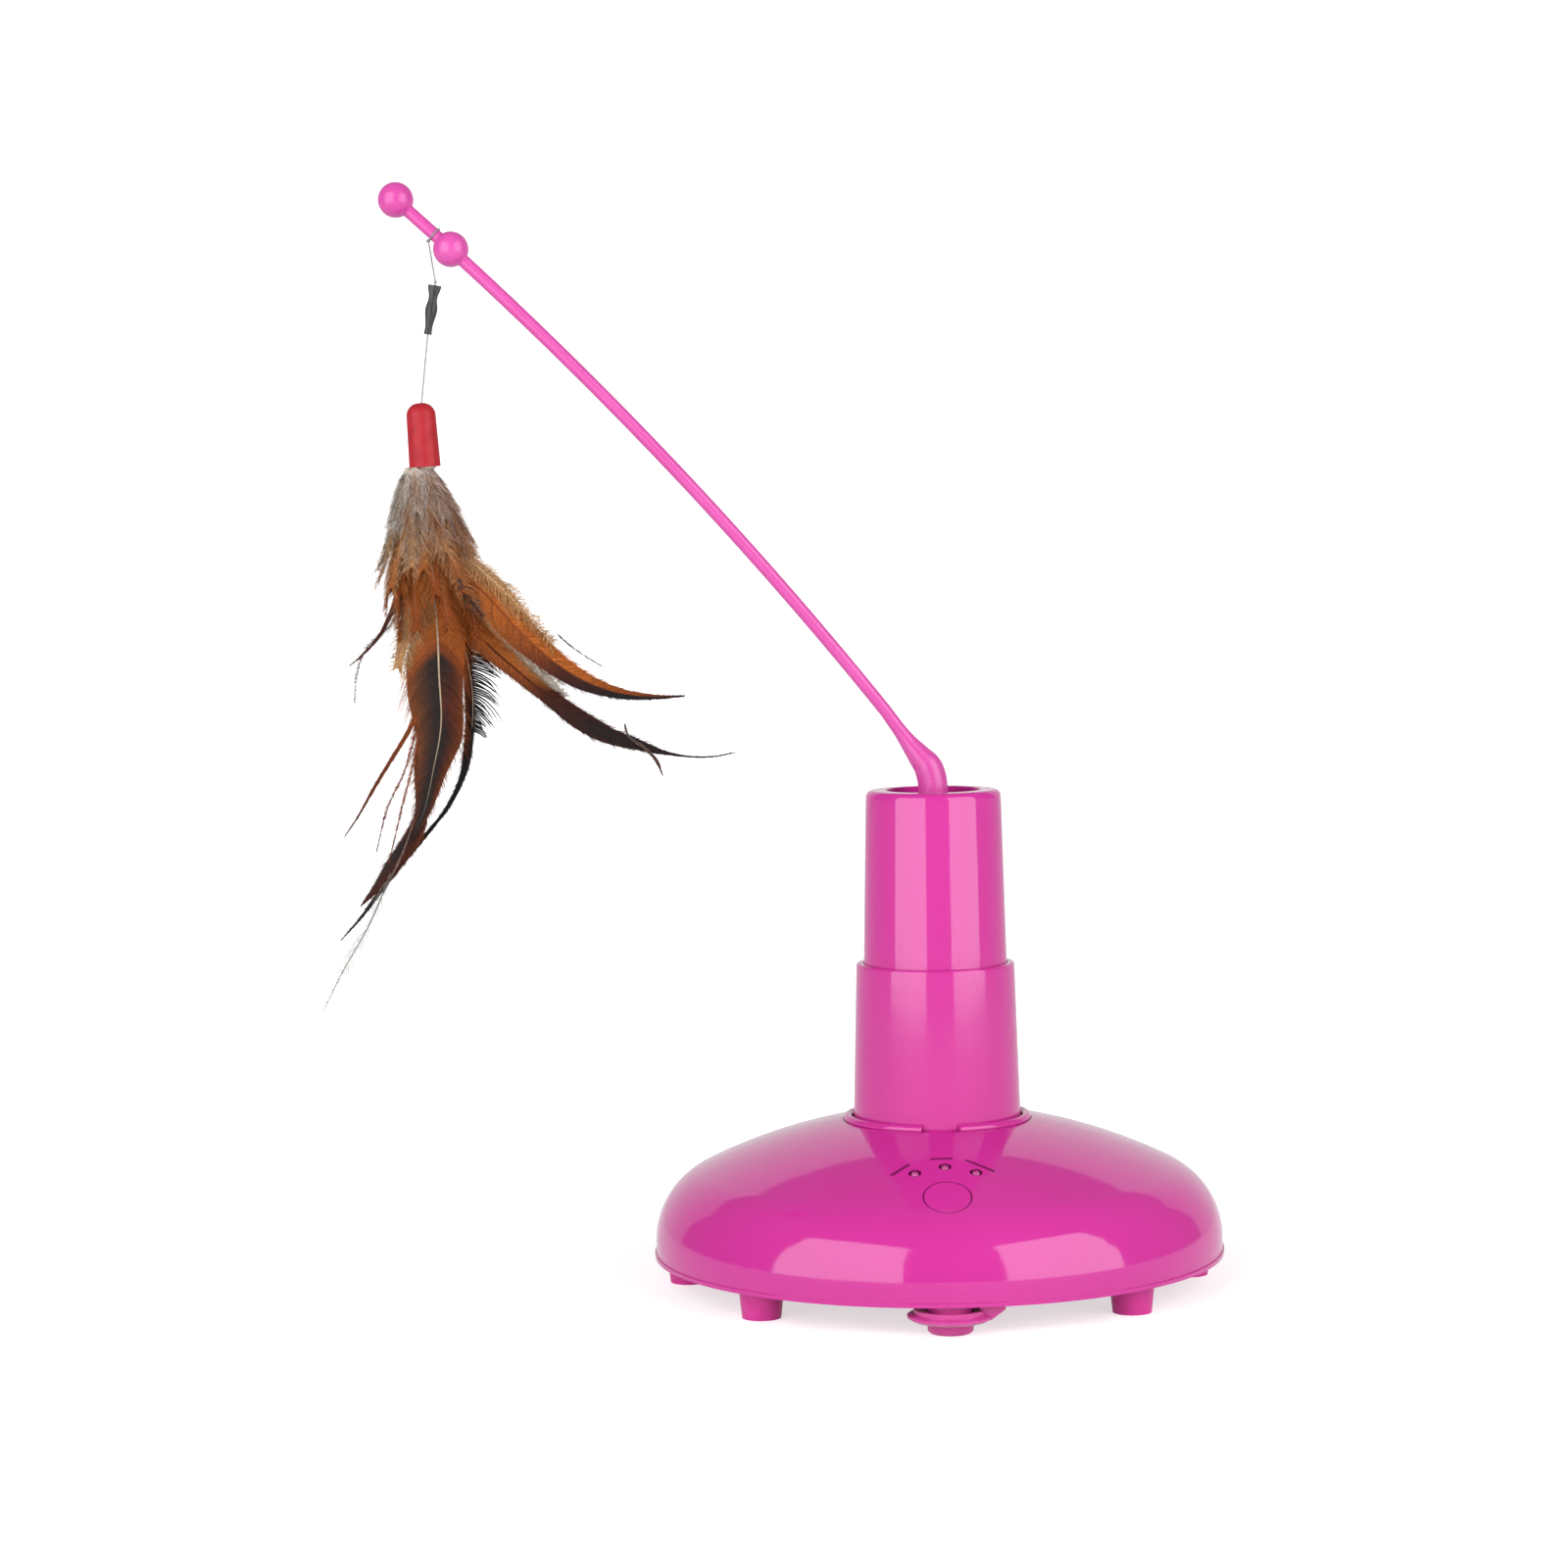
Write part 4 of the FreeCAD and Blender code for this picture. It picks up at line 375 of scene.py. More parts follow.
# Lights: small round-headed lamps of tinted clear resin, on wire legs from the board. They sit just below
# the dome's face.
resin = two_tone("light_lens", (0.45, 0.05, 0.24), 0.3, grain=0.0006, span=(0.24, 0.36), depth=0.00001,
                 patch=0.001, tones=((0.4, 0.04, 0.2), (0.5, 0.07, 0.28)))
dress(resin, "indicator_lights")

# Gearbox, gears and hub: natural white nylon, slightly milky. The motor is a drawn steel can with brass
# tags, a brass bush carries the output shaft, and red leads run down to the board.
milky = two_tone("white_plastic", (0.76, 0.76, 0.73), 0.4, grain=0.0008, span=(0.32, 0.5), depth=0.00002,
                 patch=0.006, tones=((0.73, 0.73, 0.7), (0.79, 0.79, 0.77)), Subsurface_Weight=0.1,
                 Subsurface_Scale=0.002)
dress(milky, "gearbox_base", "gearbox_cover", "motor_end_cap", "motor_pinion", "first_gear", "second_gear",
      "output_gear", "wand_hub")
can = two_tone("motor_steel", (0.52, 0.52, 0.54), 0.3, grain=0.0006, span=(0.22, 0.4), depth=0.00001,
               patch=0.004, tones=((0.48, 0.48, 0.5), (0.56, 0.56, 0.57)), Metallic=1.0)
dress(can, "motor_can")
brass = two_tone("brass_tag", (0.68, 0.5, 0.2), 0.3, grain=0.0004, span=(0.2, 0.4), depth=0.00001,
                 patch=0.002, tones=((0.62, 0.44, 0.17), (0.73, 0.55, 0.25)), Metallic=1.0)
dress(brass, "motor_tags", "output_bush")
lead = two_tone("lead_rubber", (0.4, 0.03, 0.03), 0.5, grain=0.0005, span=(0.42, 0.6), depth=0.00002,
                patch=0.003, tones=((0.36, 0.025, 0.025), (0.44, 0.035, 0.035)))
dress(lead, "motor_leads", "battery_leads")


# Wand: one flexible moulding in a lighter satin pink. Its keyed peg stands in the hub, its root swells
# over the tower's mouth, leans over and thins into a long bowed rod that ends in two balls.
def smooth_run(points, count):
    """Evenly spread points on a smooth line through the given ones: between two of them, the cubic whose
    slopes at its ends are those that their neighbours give."""
    points = np.array(points, float)
    reach = np.r_[0, np.cumsum(np.linalg.norm(np.diff(points, axis=0), axis=1))]
    slope = np.gradient(points, reach, axis=0)
    along = np.linspace(0, reach[-1], count)
    leg = np.clip(np.searchsorted(reach, along, side="right") - 1, 0, len(points) - 2)
    span = (reach[leg + 1] - reach[leg])[:, None]
    t = (along - reach[leg])[:, None] / span
    return (points[leg] * (1 - 3 * t**2 + 2 * t**3) + slope[leg] * span * (t - 2 * t**2 + t**3)
            + points[leg + 1] * (3 * t**2 - 2 * t**3) + slope[leg + 1] * span * (t**3 - t**2))


def turned_tube(centres, radii, sides):
    """Rings of points round a line that stays in the XZ plane: centre + r (cos a across + sin a back),
    where across is square to the line. The first and last ring close to a point where r is 0."""
    along = np.gradient(centres, axis=0)
    along /= np.linalg.norm(along, axis=1, keepdims=True)
    across = np.stack([along[:, 2], 0 * along[:, 0], -along[:, 0]], -1)
    turn = np.arange(sides) * 2 * np.pi / sides
    ring = np.cos(turn)[:, None] * across[:, None] + np.sin(turn)[:, None] * np.array([0, 1, 0])
    return centres[:, None] + np.reshape(radii, (-1, 1, 1)) * ring


root_line = np.array([(0, 0, 0.1785), (0, 0, 0.1810), (-0.0003, 0, 0.1848), (-0.0018, 0, 0.1896),
                      (-0.0050, 0, 0.1938), (-0.0088, 0, 0.1987), (-0.0118, 0, 0.2029), (-0.0170, 0, 0.2103)])
root_radii = (0.0054, 0.0054, 0.0055, 0.0054, 0.0044, 0.0032, 0.0026, 0.0024)
root_steps, root_blur = 60, 7
root_run = smooth_run(root_line, root_steps)
root_share = np.r_[0, np.cumsum(np.linalg.norm(np.diff(root_run, axis=0), axis=1))]
line_share = np.r_[0, np.cumsum(np.linalg.norm(np.diff(root_line, axis=0), axis=1))]
root_width = np.interp(root_share / root_share[-1], line_share / line_share[-1], root_radii)
root_width = np.convolve(np.pad(root_width, root_blur // 2, mode="edge"), np.ones(root_blur) / root_blur,
                         mode="valid")

# The rod is an arc of a wide circle that starts where the root ends, and its balls are spheres on it.
bow_radius, rod_lean, rod_turn = 1.5, math.radians(38.03), math.radians(9.85)
rod_radius, ball_radius, ball_spacing = 0.0024, 0.0065, 0.0267
rod_steps, ball_steps, shortest_step = 60, 33, 0.0005
rod_length = bow_radius * rod_turn
ball_reach = ball_radius * np.cos(np.linspace(0, np.pi, ball_steps))
rod_reach = np.unique(np.r_[np.linspace(0, rod_length - ball_spacing - ball_radius, rod_steps),
                            ball_reach + rod_length, ball_reach + rod_length - ball_spacing][:-1])
rod_reach = rod_reach[rod_reach > shortest_step]
rod_angle = rod_lean + rod_reach / bow_radius
rod_run = np.stack([bow_radius * (np.cos(rod_angle) - math.cos(rod_lean)) + root_line[-1, 0], 0 * rod_angle,
                    bow_radius * (np.sin(rod_angle) - math.sin(rod_lean)) + root_line[-1, 2]], -1)
off_ball = np.minimum((rod_reach - rod_length)**2, (rod_reach - rod_length + ball_spacing)**2)
in_ball = np.sqrt(np.clip(ball_radius**2 - off_ball, 0, None))
rod_width = np.where(rod_reach > rod_length, in_ball, np.maximum(in_ball, rod_radius))
rod_width[-1] = 0

# The peg is a short round pin with two flats and a chamfered foot, a little slimmer than the root.
peg_foot, peg_top, peg_radius, peg_flat, chamfer = 0.1652, 0.1771, 0.0045, 0.0034, 0.0003
peg_profile = np.array([(peg_foot, 0), (peg_foot, peg_radius - chamfer), (peg_foot + chamfer, peg_radius),
                        (peg_top - 0.0002, peg_radius), (peg_top - 0.0001, peg_radius),
                        (peg_top, peg_radius), (peg_top, root_radii[0]), (peg_top + 0.0002, root_radii[0])])
peg_run = np.zeros((len(peg_profile), 3))
peg_run[:, 2] = peg_profile[:, 0] + np.arange(len(peg_profile)) * 1e-7
wand_sides = 40
wand_points = turned_tube(np.concatenate([peg_run, root_run, rod_run]),
                          np.concatenate([peg_profile[:, 1], root_width, rod_width]), wand_sides)
wand_points[:6, :, 1] = np.clip(wand_points[:6, :, 1], -peg_flat, peg_flat)
wand_pink = two_tone("pink_wand", (0.62, 0.07, 0.35), 0.28, grain=0.0012, span=(0.22, 0.34), depth=0.000012,
                     patch=0.03, tones=((0.6, 0.06, 0.33), (0.64, 0.08, 0.37)))
wand = surface("bowed_wand", wand_points.reshape(-1, 3), grid_faces(len(wand_points), wand_sides, True),
               wand_pink, "wand")
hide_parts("wand")

# Line tie: nylon line knotted round the rod beyond the second ball, and the short length down to the
# sleeve, in the same clear nylon as the hanging line.
dress(nylon, "line_tie", "upper_line")

# Sleeve: black shrink tube over the line's swivel, drawn in at its waist, with fine creases along it.
# Heat has shrunk it tight on both lines.
shrink = finish_of("sleeve_rubber", (0.016, 0.016, 0.018), 0.42)
crease = noise(shrink, 1500.0, 3.0, upright=0.15)
# Painted shade: the colour follows the creases, a shade darker in their hollows and lighter on their ridges.
dark = mixed(shrink, scaled(shrink, crease, 0.0, 1.0), (0.012, 0.012, 0.014), (0.03, 0.03, 0.034))
into_shader(shrink, Base_Color=dark, Normal=bump(shrink, crease, 0.6, 0.00015),
            Roughness=scaled(shrink, crease, 0.34, 0.52))
dress(shrink, "swivel_sleeve")

# Cap: dipped red rubber over the bound quills, satin and a little uneven. The line's stopper knot is
# caught under its top.
red = two_tone("cap_rubber", (0.38, 0.01, 0.018), 0.5, grain=0.0018, span=(0.42, 0.58), depth=0.00012,
               patch=0.004, tones=((0.34, 0.008, 0.016), (0.42, 0.013, 0.022)), Specular_IOR_Level=0.3)
dress(red, "feather_cap")

# Quills: the bare horn ends of the feathers, streaked along their length, tied in a bundle and glued in
# the cap.
horn = finish_of("quill", (0.62, 0.52, 0.38), 0.45)
stalk = noise(horn, 900.0, 2.0, upright=0.08)
streaked = mixed(horn, scaled(horn, stalk, 0.0, 1.0), (0.2, 0.13, 0.07), (0.66, 0.57, 0.43))
into_shader(horn, Base_Color=streaked, Normal=bump(horn, stalk, 0.8, 0.0004))
dress(horn, "quill_bundle")

# Feathers: natural cock feathers, tied and glued by their quills inside the cap: soft grey, fawn and rust
# body feathers round its mouth, and long narrow hackles that fan out below. Each has a horny shaft and,
# every few tenths of a millimetre on either side, a barb that hooks onto its neighbours or floats free.
cream = (0.52, 0.4, 0.27)
frost = (0.66, 0.64, 0.6)
mist = (0.5, 0.47, 0.42)
slate = (0.13, 0.115, 0.1)
fawn = (0.42, 0.22, 0.09)
rust = (0.34, 0.088, 0.012)
umber = (0.22, 0.048, 0.007)
bark = (0.05, 0.009, 0.004)
soot = (0.008, 0.006, 0.006)
towards = (0, -1, 0.1)


def even(share, tone):
    """The same tone from edge to edge, at this share of the length."""
    return (share, tone, tone, tone, tone)


def at_depth(depth, *places):
    """Points at one depth, from their x and z."""
    return [(x, depth, z) for x, z in places]


def barb_out(t):
    """How far out a barb has come, as a share of its reach."""
    return 1.3 * t - 0.3 * t**2


def barb_on(t):
    """How far along the feather a barb has come, as a share of its sweep."""
    return 0.45 * t + 0.55 * t**2


def joined(parts):
    """Parts laid end to end as one. Each part is its points, quads, tones, cells and places in a cell."""
    points, quads, tones, cells, spots = zip(*parts)
    first = np.cumsum([0] + [len(part) for part in points[:-1]])
    first_cell = np.cumsum([0] + [part.max() + 1 for part in cells[:-1]])
    return (np.concatenate(points), np.concatenate([part + start for part, start in zip(quads, first)]),
            np.concatenate(tones), np.concatenate([part + start for part, start in zip(cells, first_cell)]),
            np.concatenate(spots))


def feather(points, facing, left, right, tones, seed, pitch=0.22, sweep=1.7, cup=0.12, ragged=0.12,
            fluff=0.15, shaft=0.4, shaft_tone=cream, barb=0.75, bars=0.0, web=0.8):
    """One feather in millimetres, as its points, quads, tones, cells and places in their cell. A barb
    leaves the shaft and reaches w (1.3 t - 0.3 t^2) across, w sweep (0.45 t + 0.55 t^2) along and
    cup w t^2 back, for t from 0 to 1. Its w is the vane's half width at its own tip, which lies further
    on, so w is found by steps. Neighbours lean together in tufts, and fluff waves each barb on its own.
    Where barbs hook together they also carry a closed web, out to a share of their reach. left and right
    are pairs of a share of the length and a half width, and with no right both are alike. tones are a
    share and the colours of left edge, left root, right root and right edge, and bars is a number of
    dark bars on a barb. The shaft takes on the root's colour towards its tip."""
    dice = np.random.default_rng(seed)
    length = np.linalg.norm(np.diff(np.array(points, float), axis=0), axis=1).sum()
    count = max(int(length / pitch), 12)
    path = smooth_run(points, count)
    along = np.gradient(path, axis=0)
    along /= np.linalg.norm(along, axis=1, keepdims=True)
    across = np.cross(along, facing)
    across /= np.linalg.norm(across, axis=1, keepdims=True)
    out = np.cross(across, along)
    share = np.linspace(0, 1, count)
    tone_share, *tone_rows = zip(*tones)
    blend = [np.stack([np.interp(share, tone_share, channel) for channel in zip(*row)], -1)
             for row in tone_rows]
    tuft = np.cumsum(dice.random(count) < 0.09)
    lean = (np.bincount(tuft, weights=share) / np.maximum(np.bincount(tuft), 1))[tuft] - share

    steps, edge_blend = 6, 2.2
    t = np.linspace(0, 1, steps)
    web_t = np.linspace(0, web, steps)
    rows = np.unique(np.r_[np.arange(0, count, 3), count - 1])
    strips, shades, webs = [], [], []
    for side, outline, edge, root in ((1, left, blend[0], blend[1]), (-1, right or left, blend[3], blend[2])):
        width = np.interp(share, *zip(*outline))
        for _ in range(12):
            width = 0.5 * width + 0.5 * np.interp(share + width * sweep / length, *zip(*outline))
        if web:
            wide = width[rows, None]
            bay = (side * wide * barb_out(web_t))[..., None] * across[rows, None]
            fall = (wide * sweep * barb_on(web_t))[..., None] * along[rows, None]
            back = (cup * wide * web_t**2 + 0.04)[..., None] * out[rows, None]
            sheet = path[rows, None] + bay + fall - back
            shade = root[rows, None] + (edge - root)[rows, None] * web_t[:, None]**edge_blend
            if side > 0:
                sheet, shade = sheet[:, ::-1], shade[:, ::-1]
            spot = np.stack(np.meshgrid(web_t, share[rows]), -1).reshape(-1, 2)
            webs.append((sheet.reshape(-1, 3), grid_faces(len(rows), steps), shade.reshape(-1, 3),
                         np.zeros(len(spot), int), spot))
        width = (width * np.clip(1 + ragged * dice.normal(size=count), 0.3, 1.3))[:, None]
        wave = fluff * t * np.sin(4.5 * t + 6.3 * dice.random((3, count, 1)))
        reach = side * width * barb_out(t) + wave[0]
        slide = width * sweep * barb_on(t) + lean[:, None] * length * 0.35 * t**2 + wave[1]
        lift = -cup * width * t**2 + wave[2] + 0.1 * dice.normal(size=(count, 1)) * t
        middle = (path[:, None] + reach[..., None] * across[:, None] + slide[..., None] * along[:, None]
                  + lift[..., None] * out[:, None])
        half = (pitch * barb * np.interp(t, (0, 0.8, 1), (1, 0.8, 0.2)))[:, None] * along[:, None] * side
        strips.append(np.stack([middle + half, middle - half], 2))
        tone = root[:, None] + (edge - root)[:, None] * t[:, None]**edge_blend
        if bars:
            dark = np.sin(6.3 * bars * t) > -0.2
            tone = np.where(dark[:, None], np.array(soot), tone)
        tone = tone * np.clip(1 + 0.2 * dice.normal(size=(count, 1, 1)), 0.5, 1.5)
        shades.append(np.repeat(tone[:, :, None], 2, 2))
    spot = np.tile(np.stack(np.meshgrid([0.2, 0.8], t), -1).reshape(-1, 2), (2 * count, 1))
    barbs = (np.concatenate(strips).reshape(-1, 3),
             (np.arange(2 * count)[:, None, None] * 2 * steps + grid_faces(steps, 2)).reshape(-1, 4),
             np.concatenate(shades).reshape(-1, 3), np.repeat(np.arange(2 * count), 2 * steps), spot)

    sides = 6
    rings = np.unique(np.r_[np.arange(0, count, 5), count - 1])
    turn = np.arange(sides) * 2 * np.pi / sides
    radius = shaft * (1 - share[rings])**0.7 + 0.05
    radius[[0, -1]] = 0
    ring = (across[rings][:, None] * np.cos(turn)[:, None] + out[rings][:, None] * np.sin(turn)[:, None])
    aged = share[rings, None]**2
    tone = np.repeat((1 - aged) * np.array(shaft_tone) + aged * blend[1][rings], sides, axis=0)
    spot = np.stack(np.meshgrid(np.linspace(0.1, 0.9, sides), share[rings]), -1).reshape(-1, 2)
    tube = ((path[rings][:, None] + radius[:, None, None] * ring).reshape(-1, 3),
            grid_faces(len(rings), sides, True)[:, ::-1], tone, np.zeros(len(tone), int), spot)
    return joined([barbs, tube] + webs)


def barb_finish(name, roughness, sheen):
    """Horn in fine fibres: the colour is the barb's own tone, mottled along its length, with a soft sheen
    that the barbs' tiny hooks give."""
    finish = finish_of(name, cream, roughness, Sheen_Weight=sheen, Sheen_Roughness=0.35,
                       Specular_IOR_Level=0.15)
    own = add(finish, "Attribute", {}, attribute_name="tone")
    mottle = noise(finish, 1100.0, 3.0)
    shade = add(finish, "VectorMath", {0: own.outputs["Color"], "Scale": scaled(finish, mottle, 0.72, 1.2)},
                operation="SCALE")
    into_shader(finish, Base_Color=shade.outputs["Vector"], Normal=bump(finish, mottle, 0.4, 0.00006),
                Roughness=scaled(finish, mottle, roughness - 0.12, roughness + 0.12))
    return finish


def plumage(name, feathers, finish, slot, *nodes):
    """One piece from its feathers. Every barb has its own cell in the piece's UV map, a fixed number of
    cells to a row."""
    in_row = 64
    points, faces, tone, cell, spot = joined(feathers)
    rows = cell.max() // in_row + 1
    flat = np.stack([(cell % in_row + spot[:, 0]) / in_row,
                     (cell // in_row + 0.04 + 0.92 * spot[:, 1]) / rows], -1)
    piece = surface(name, points * 0.001, faces, finish, "feathers")
    piece.data.attributes.new("tone", "FLOAT_COLOR", "POINT").data.foreach_set(
        "color", np.c_[tone, np.ones(len(tone))].ravel())
    piece.data.uv_layers.new(name="OFBake").data.foreach_set("uv", flat[faces.ravel()].ravel())
    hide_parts(*nodes)


down = barb_finish("down", 0.65, 0.08)
brown_barbs = barb_finish("hackle_brown", 0.5, 0.08)
dark_barbs = barb_finish("hackle_dark", 0.5, 0.02)

# Body feathers: soft natural feathers in five layers round the cap's mouth, the inner ones longest and
# rustiest, the outer ones short and grey. Each lies on the tuft's outline, which widens from the cap
# down, and faces outwards.
tuft_levels = (238, 250, 262, 277, 291, 302)
tuft_middle = (-179, -180.5, -182, -183.2, -185, -186.2)
tuft_wide = (21, 20.5, 18.5, 13.4, 8.7, 4.4)
tuft_deep = (14, 13.5, 12.5, 10, 7.6, 4.4)
tuft_layers = ((0.66, 244, 8, 7.0, 0.35, ((fawn, rust), (rust, rust), (umber, umber))),
               (0.80, 252, 8, 7.0, 0.1, ((fawn, fawn), (fawn, rust), (rust, umber))),
               (0.92, 261, 9, 6.0, 0.6, ((mist, fawn), (cream, fawn), (fawn, rust))),
               (1.0, 271, 9, 5.0, 0.3, ((frost, mist), (mist, slate), (cream, fawn))),
               (1.03, 284, 8, 4.2, 0.8, ((frost, frost), (frost, slate), (mist, mist))))


def tuft_outline(level):
    """The tuft's middle, half width and half depth at a level."""
    return [np.interp(level, tuft_levels, sizes) for sizes in (tuft_middle, tuft_wide, tuft_deep)]


body_feathers = []
dice = np.random.default_rng(5)
for layer, (scale, foot_level, number, half, start, layer_tones) in enumerate(tuft_layers):
    for count in range(number):
        turn = 2 * math.pi * (count + start) / number
        level = np.linspace(tuft_levels[-1], foot_level + dice.uniform(-5, 5), 7)
        middle, wide, deep = tuft_outline(level)
        flare = 1 + 0.14 * np.linspace(0, 1, 7)**3
        points = np.stack([middle + flare * wide * scale * math.cos(turn),
                           flare * deep * scale * math.sin(turn), level], -1)
        warm = 0.5 * np.clip(0.45 + 0.6 * math.cos(turn + 0.3), 0, 1)
        tones = []
        for share, (edge, root) in zip((0.0, 0.5, 1.0), layer_tones):
            edge = np.array(edge) * (1 - warm) + np.array(rust) * warm
            root = np.array(root) * (1 - warm) + np.array(umber) * warm
            tones.append((share, edge, root, root, edge))
        facing = (math.cos(turn), math.sin(turn), 0.25)
        widths = ((0, 0.5 * half), (0.35, half), (0.75, 0.9 * half), (1, 0.45 * half))
        body_feathers.append(feather(points, facing, widths, None, tones, 100 * layer + count, pitch=0.26,
                                     sweep=2.0, cup=-0.12, ragged=0.28, fluff=1.1, shaft=0.2, barb=0.6,
                                     web=0.45))

# A few small dark feathers lie on the tuft among the grey ones, at the left and down the right side.
dark_runs = (((-186.0, 300.1), (-191.1, 296.6), (-194.0, 292.7)),
             ((-193.4, 286.6), (-196.8, 279.6), (-199.5, 272.5)),
             ((-177.5, 293.5), (-173.8, 284.6), (-170.1, 274.9)),
             ((-171.8, 261.3), (-167.6, 253.4), (-163.5, 247.6)))
for number, run in enumerate(dark_runs):
    run_x, level = np.array(run).T
    middle, wide, deep = tuft_outline(level)
    off = (run_x - middle) / wide
    front = np.sqrt(np.clip(1 - off**2, 0, 1))
    points = np.stack([run_x, -1.05 * front * deep, level], -1)
    body_feathers.append(feather(points, (off[1], -front[1] - 0.2, 0.1), [(0, 1.5), (0.6, 2.4), (1, 1)], None,
                                 [(0, slate, soot, soot, slate), (1, soot, bark, bark, slate)],
                                 600 + number, pitch=0.3, ragged=0.5, fluff=0.8, shaft=0.05,
                                 shaft_tone=slate, barb=0.5, web=0.2))
plumage("body_feathers", body_feathers, down, "down", "down_tuft")

# Middle hackle: the long neck feather that hangs in front, rust with a black leaf of a centre, some tan
# fluff at its left, and the narrow dark feather that ends below it. Its quill is glued in the cap.
plumage("middle_hackle", [
    feather(at_depth(0, (-184, 268), (-181.3, 251.4), (-180.4, 225.6), (-180.1, 207.6), (-183.3, 191.1),
                     (-187.3, 175.3), (-191.4, 166.3)), towards,
            [(0, 5), (0.16, 8), (0.27, 11), (0.41, 15), (0.55, 13.8), (0.65, 12), (0.78, 8.8), (0.93, 3.6),
             (1, 1)],
            [(0, 5), (0.16, 9), (0.27, 11.7), (0.43, 10.7), (0.58, 9.2), (0.68, 8.7), (0.78, 5.6), (0.9, 2.9),
             (1, 0.6)],
            [(0, cream, fawn, fawn, rust), (0.12, cream, fawn, rust, umber), (0.24, fawn, rust, rust, umber),
             (0.29, rust, umber, umber, umber), (0.34, rust, soot, soot, umber),
             (0.5, rust, soot, bark, umber), (0.6, rust, soot, soot, umber), (0.8, umber, soot, soot, umber),
             (1, bark, soot, soot, bark)],
            11, shaft=0.4, sweep=1.5),
    feather(at_depth(-1.5, (-187, 262), (-190.5, 250), (-193.5, 238), (-195.5, 229)), towards,
            [(0, 4), (0.5, 5), (1, 2.5)], [(0, 4), (0.5, 6), (1, 3)],
            [(0, cream, fawn, fawn, cream), (1, mist, fawn, fawn, fawn)],
            13, pitch=0.24, ragged=0.3, fluff=1.3, shaft=0.12, barb=0.6, web=0.5),
    feather(at_depth(0.8, (-187, 176), (-190.8, 168), (-199, 156), (-205.5, 147.5), (-211, 141.5)), towards,
            [(0, 3), (0.3, 3.8), (0.6, 3.4), (0.85, 1.6), (1, 0.3)],
            [(0, 3), (0.3, 3.6), (0.6, 3.2), (0.85, 1.5), (1, 0.3)],
            [(0, umber, soot, soot, umber), (0.4, bark, soot, bark, bark), even(1, bark)],
            12, shaft=0.3, shaft_tone=bark)],
        brown_barbs, "hackle_brown", "long_hackle")

# Upper right hackle: a rust neck feather that curves away to the right, its lower edge black from the
# middle on, with tan fluff along its upper edge and one loose hair.
plumage("upper_right_hackle", [
    feather(at_depth(-5.4, (-178, 269), (-163, 256), (-149.5, 241), (-138, 230.5), (-128, 223.8),
                     (-115, 218.8), (-100, 217), (-90.6, 217.2)), towards,
            [(0, 6), (0.19, 8), (0.38, 7), (0.52, 5.4), (0.64, 4.4), (0.77, 2.6), (0.9, 1.1), (1, 0.3)],
            [(0, 6), (0.19, 9), (0.38, 7.4), (0.52, 5.4), (0.64, 4.2), (0.77, 2.4), (0.9, 1), (1, 0.3)],
            [(0, fawn, fawn, fawn, cream), (0.2, rust, rust, rust, fawn), (0.4, bark, umber, rust, rust),
             (0.55, soot, bark, rust, rust), (0.75, soot, soot, umber, umber), (1, soot, soot, bark, bark)],
            21, shaft=0.35, shaft_tone=umber),
    feather(at_depth(-6.2, (-168, 268), (-157, 258), (-147, 247.5), (-138, 238)), towards,
            [(0, 3), (0.5, 4), (1, 2)], [(0, 3), (0.5, 3.4), (1, 1.5)],
            [(0, fawn, fawn, fawn, cream), (1, fawn, fawn, fawn, cream)],
            23, pitch=0.35, ragged=0.3, fluff=1.2, shaft=0.12, barb=0.45, web=0),
    feather(at_depth(-5.8, (-136, 240), (-133, 237.2), (-126, 232), (-118.8, 227.6)), towards,
            [(0, 0.3), (1, 0.1)], None, [even(0, slate), even(1, slate)],
            22, pitch=1.0, shaft=0.1, shaft_tone=slate, web=0)],
        brown_barbs, "hackle_brown", "right_hackle_upper")

# Lower right hackle: a darker neck feather that runs out into a long black whip, with a pale patch of
# fluff over it and a bent hair near its end.
plumage("lower_right_hackle", [
    feather(at_depth(5.4, (-180, 264), (-168.6, 243.3), (-151, 226), (-140, 216.7), (-130, 209),
                     (-121, 203.6), (-108.4, 199), (-97.7, 195.8), (-88.7, 194.3), (-80, 194.3),
                     (-72.8, 195.6)), towards,
            [(0, 4), (0.17, 6), (0.36, 4), (0.46, 3.4), (0.56, 4.2), (0.63, 4), (0.73, 2.6), (0.81, 1),
             (0.86, 0.4), (1, 0.2)],
            [(0, 4), (0.17, 6), (0.36, 4), (0.46, 3.2), (0.56, 4.2), (0.63, 4.2), (0.73, 2.8), (0.81, 0.9),
             (0.86, 0.4), (1, 0.2)],
            [(0, umber, rust, rust, fawn), (0.2, bark, rust, rust, rust), (0.36, soot, umber, rust, fawn),
             (0.44, soot, bark, bark, bark), (0.6, bark, soot, soot, bark), even(1, soot)],
            31, shaft=0.35, shaft_tone=bark),
    feather(at_depth(7, (-166, 250), (-156, 239), (-146, 228), (-135, 217)), towards,
            [(0, 4), (0.5, 5), (1, 2)], [(0, 4), (0.5, 6), (1, 2)],
            [even(0, cream), (1, cream, mist, mist, cream)],
            32, pitch=0.22, ragged=0.3, fluff=1.4, shaft=0.15, barb=0.6, web=0.5),
    feather(at_depth(4.6, (-113, 207), (-112, 203), (-106, 198), (-101.5, 193), (-99.4, 187.8)), towards,
            [(0, 0.4), (0.8, 0.7), (1, 0.2)], None, [even(0, slate), even(1, bark)],
            33, pitch=0.3, shaft=0.12, shaft_tone=bark)],
        dark_barbs, "hackle_dark", "right_hackle_lower")

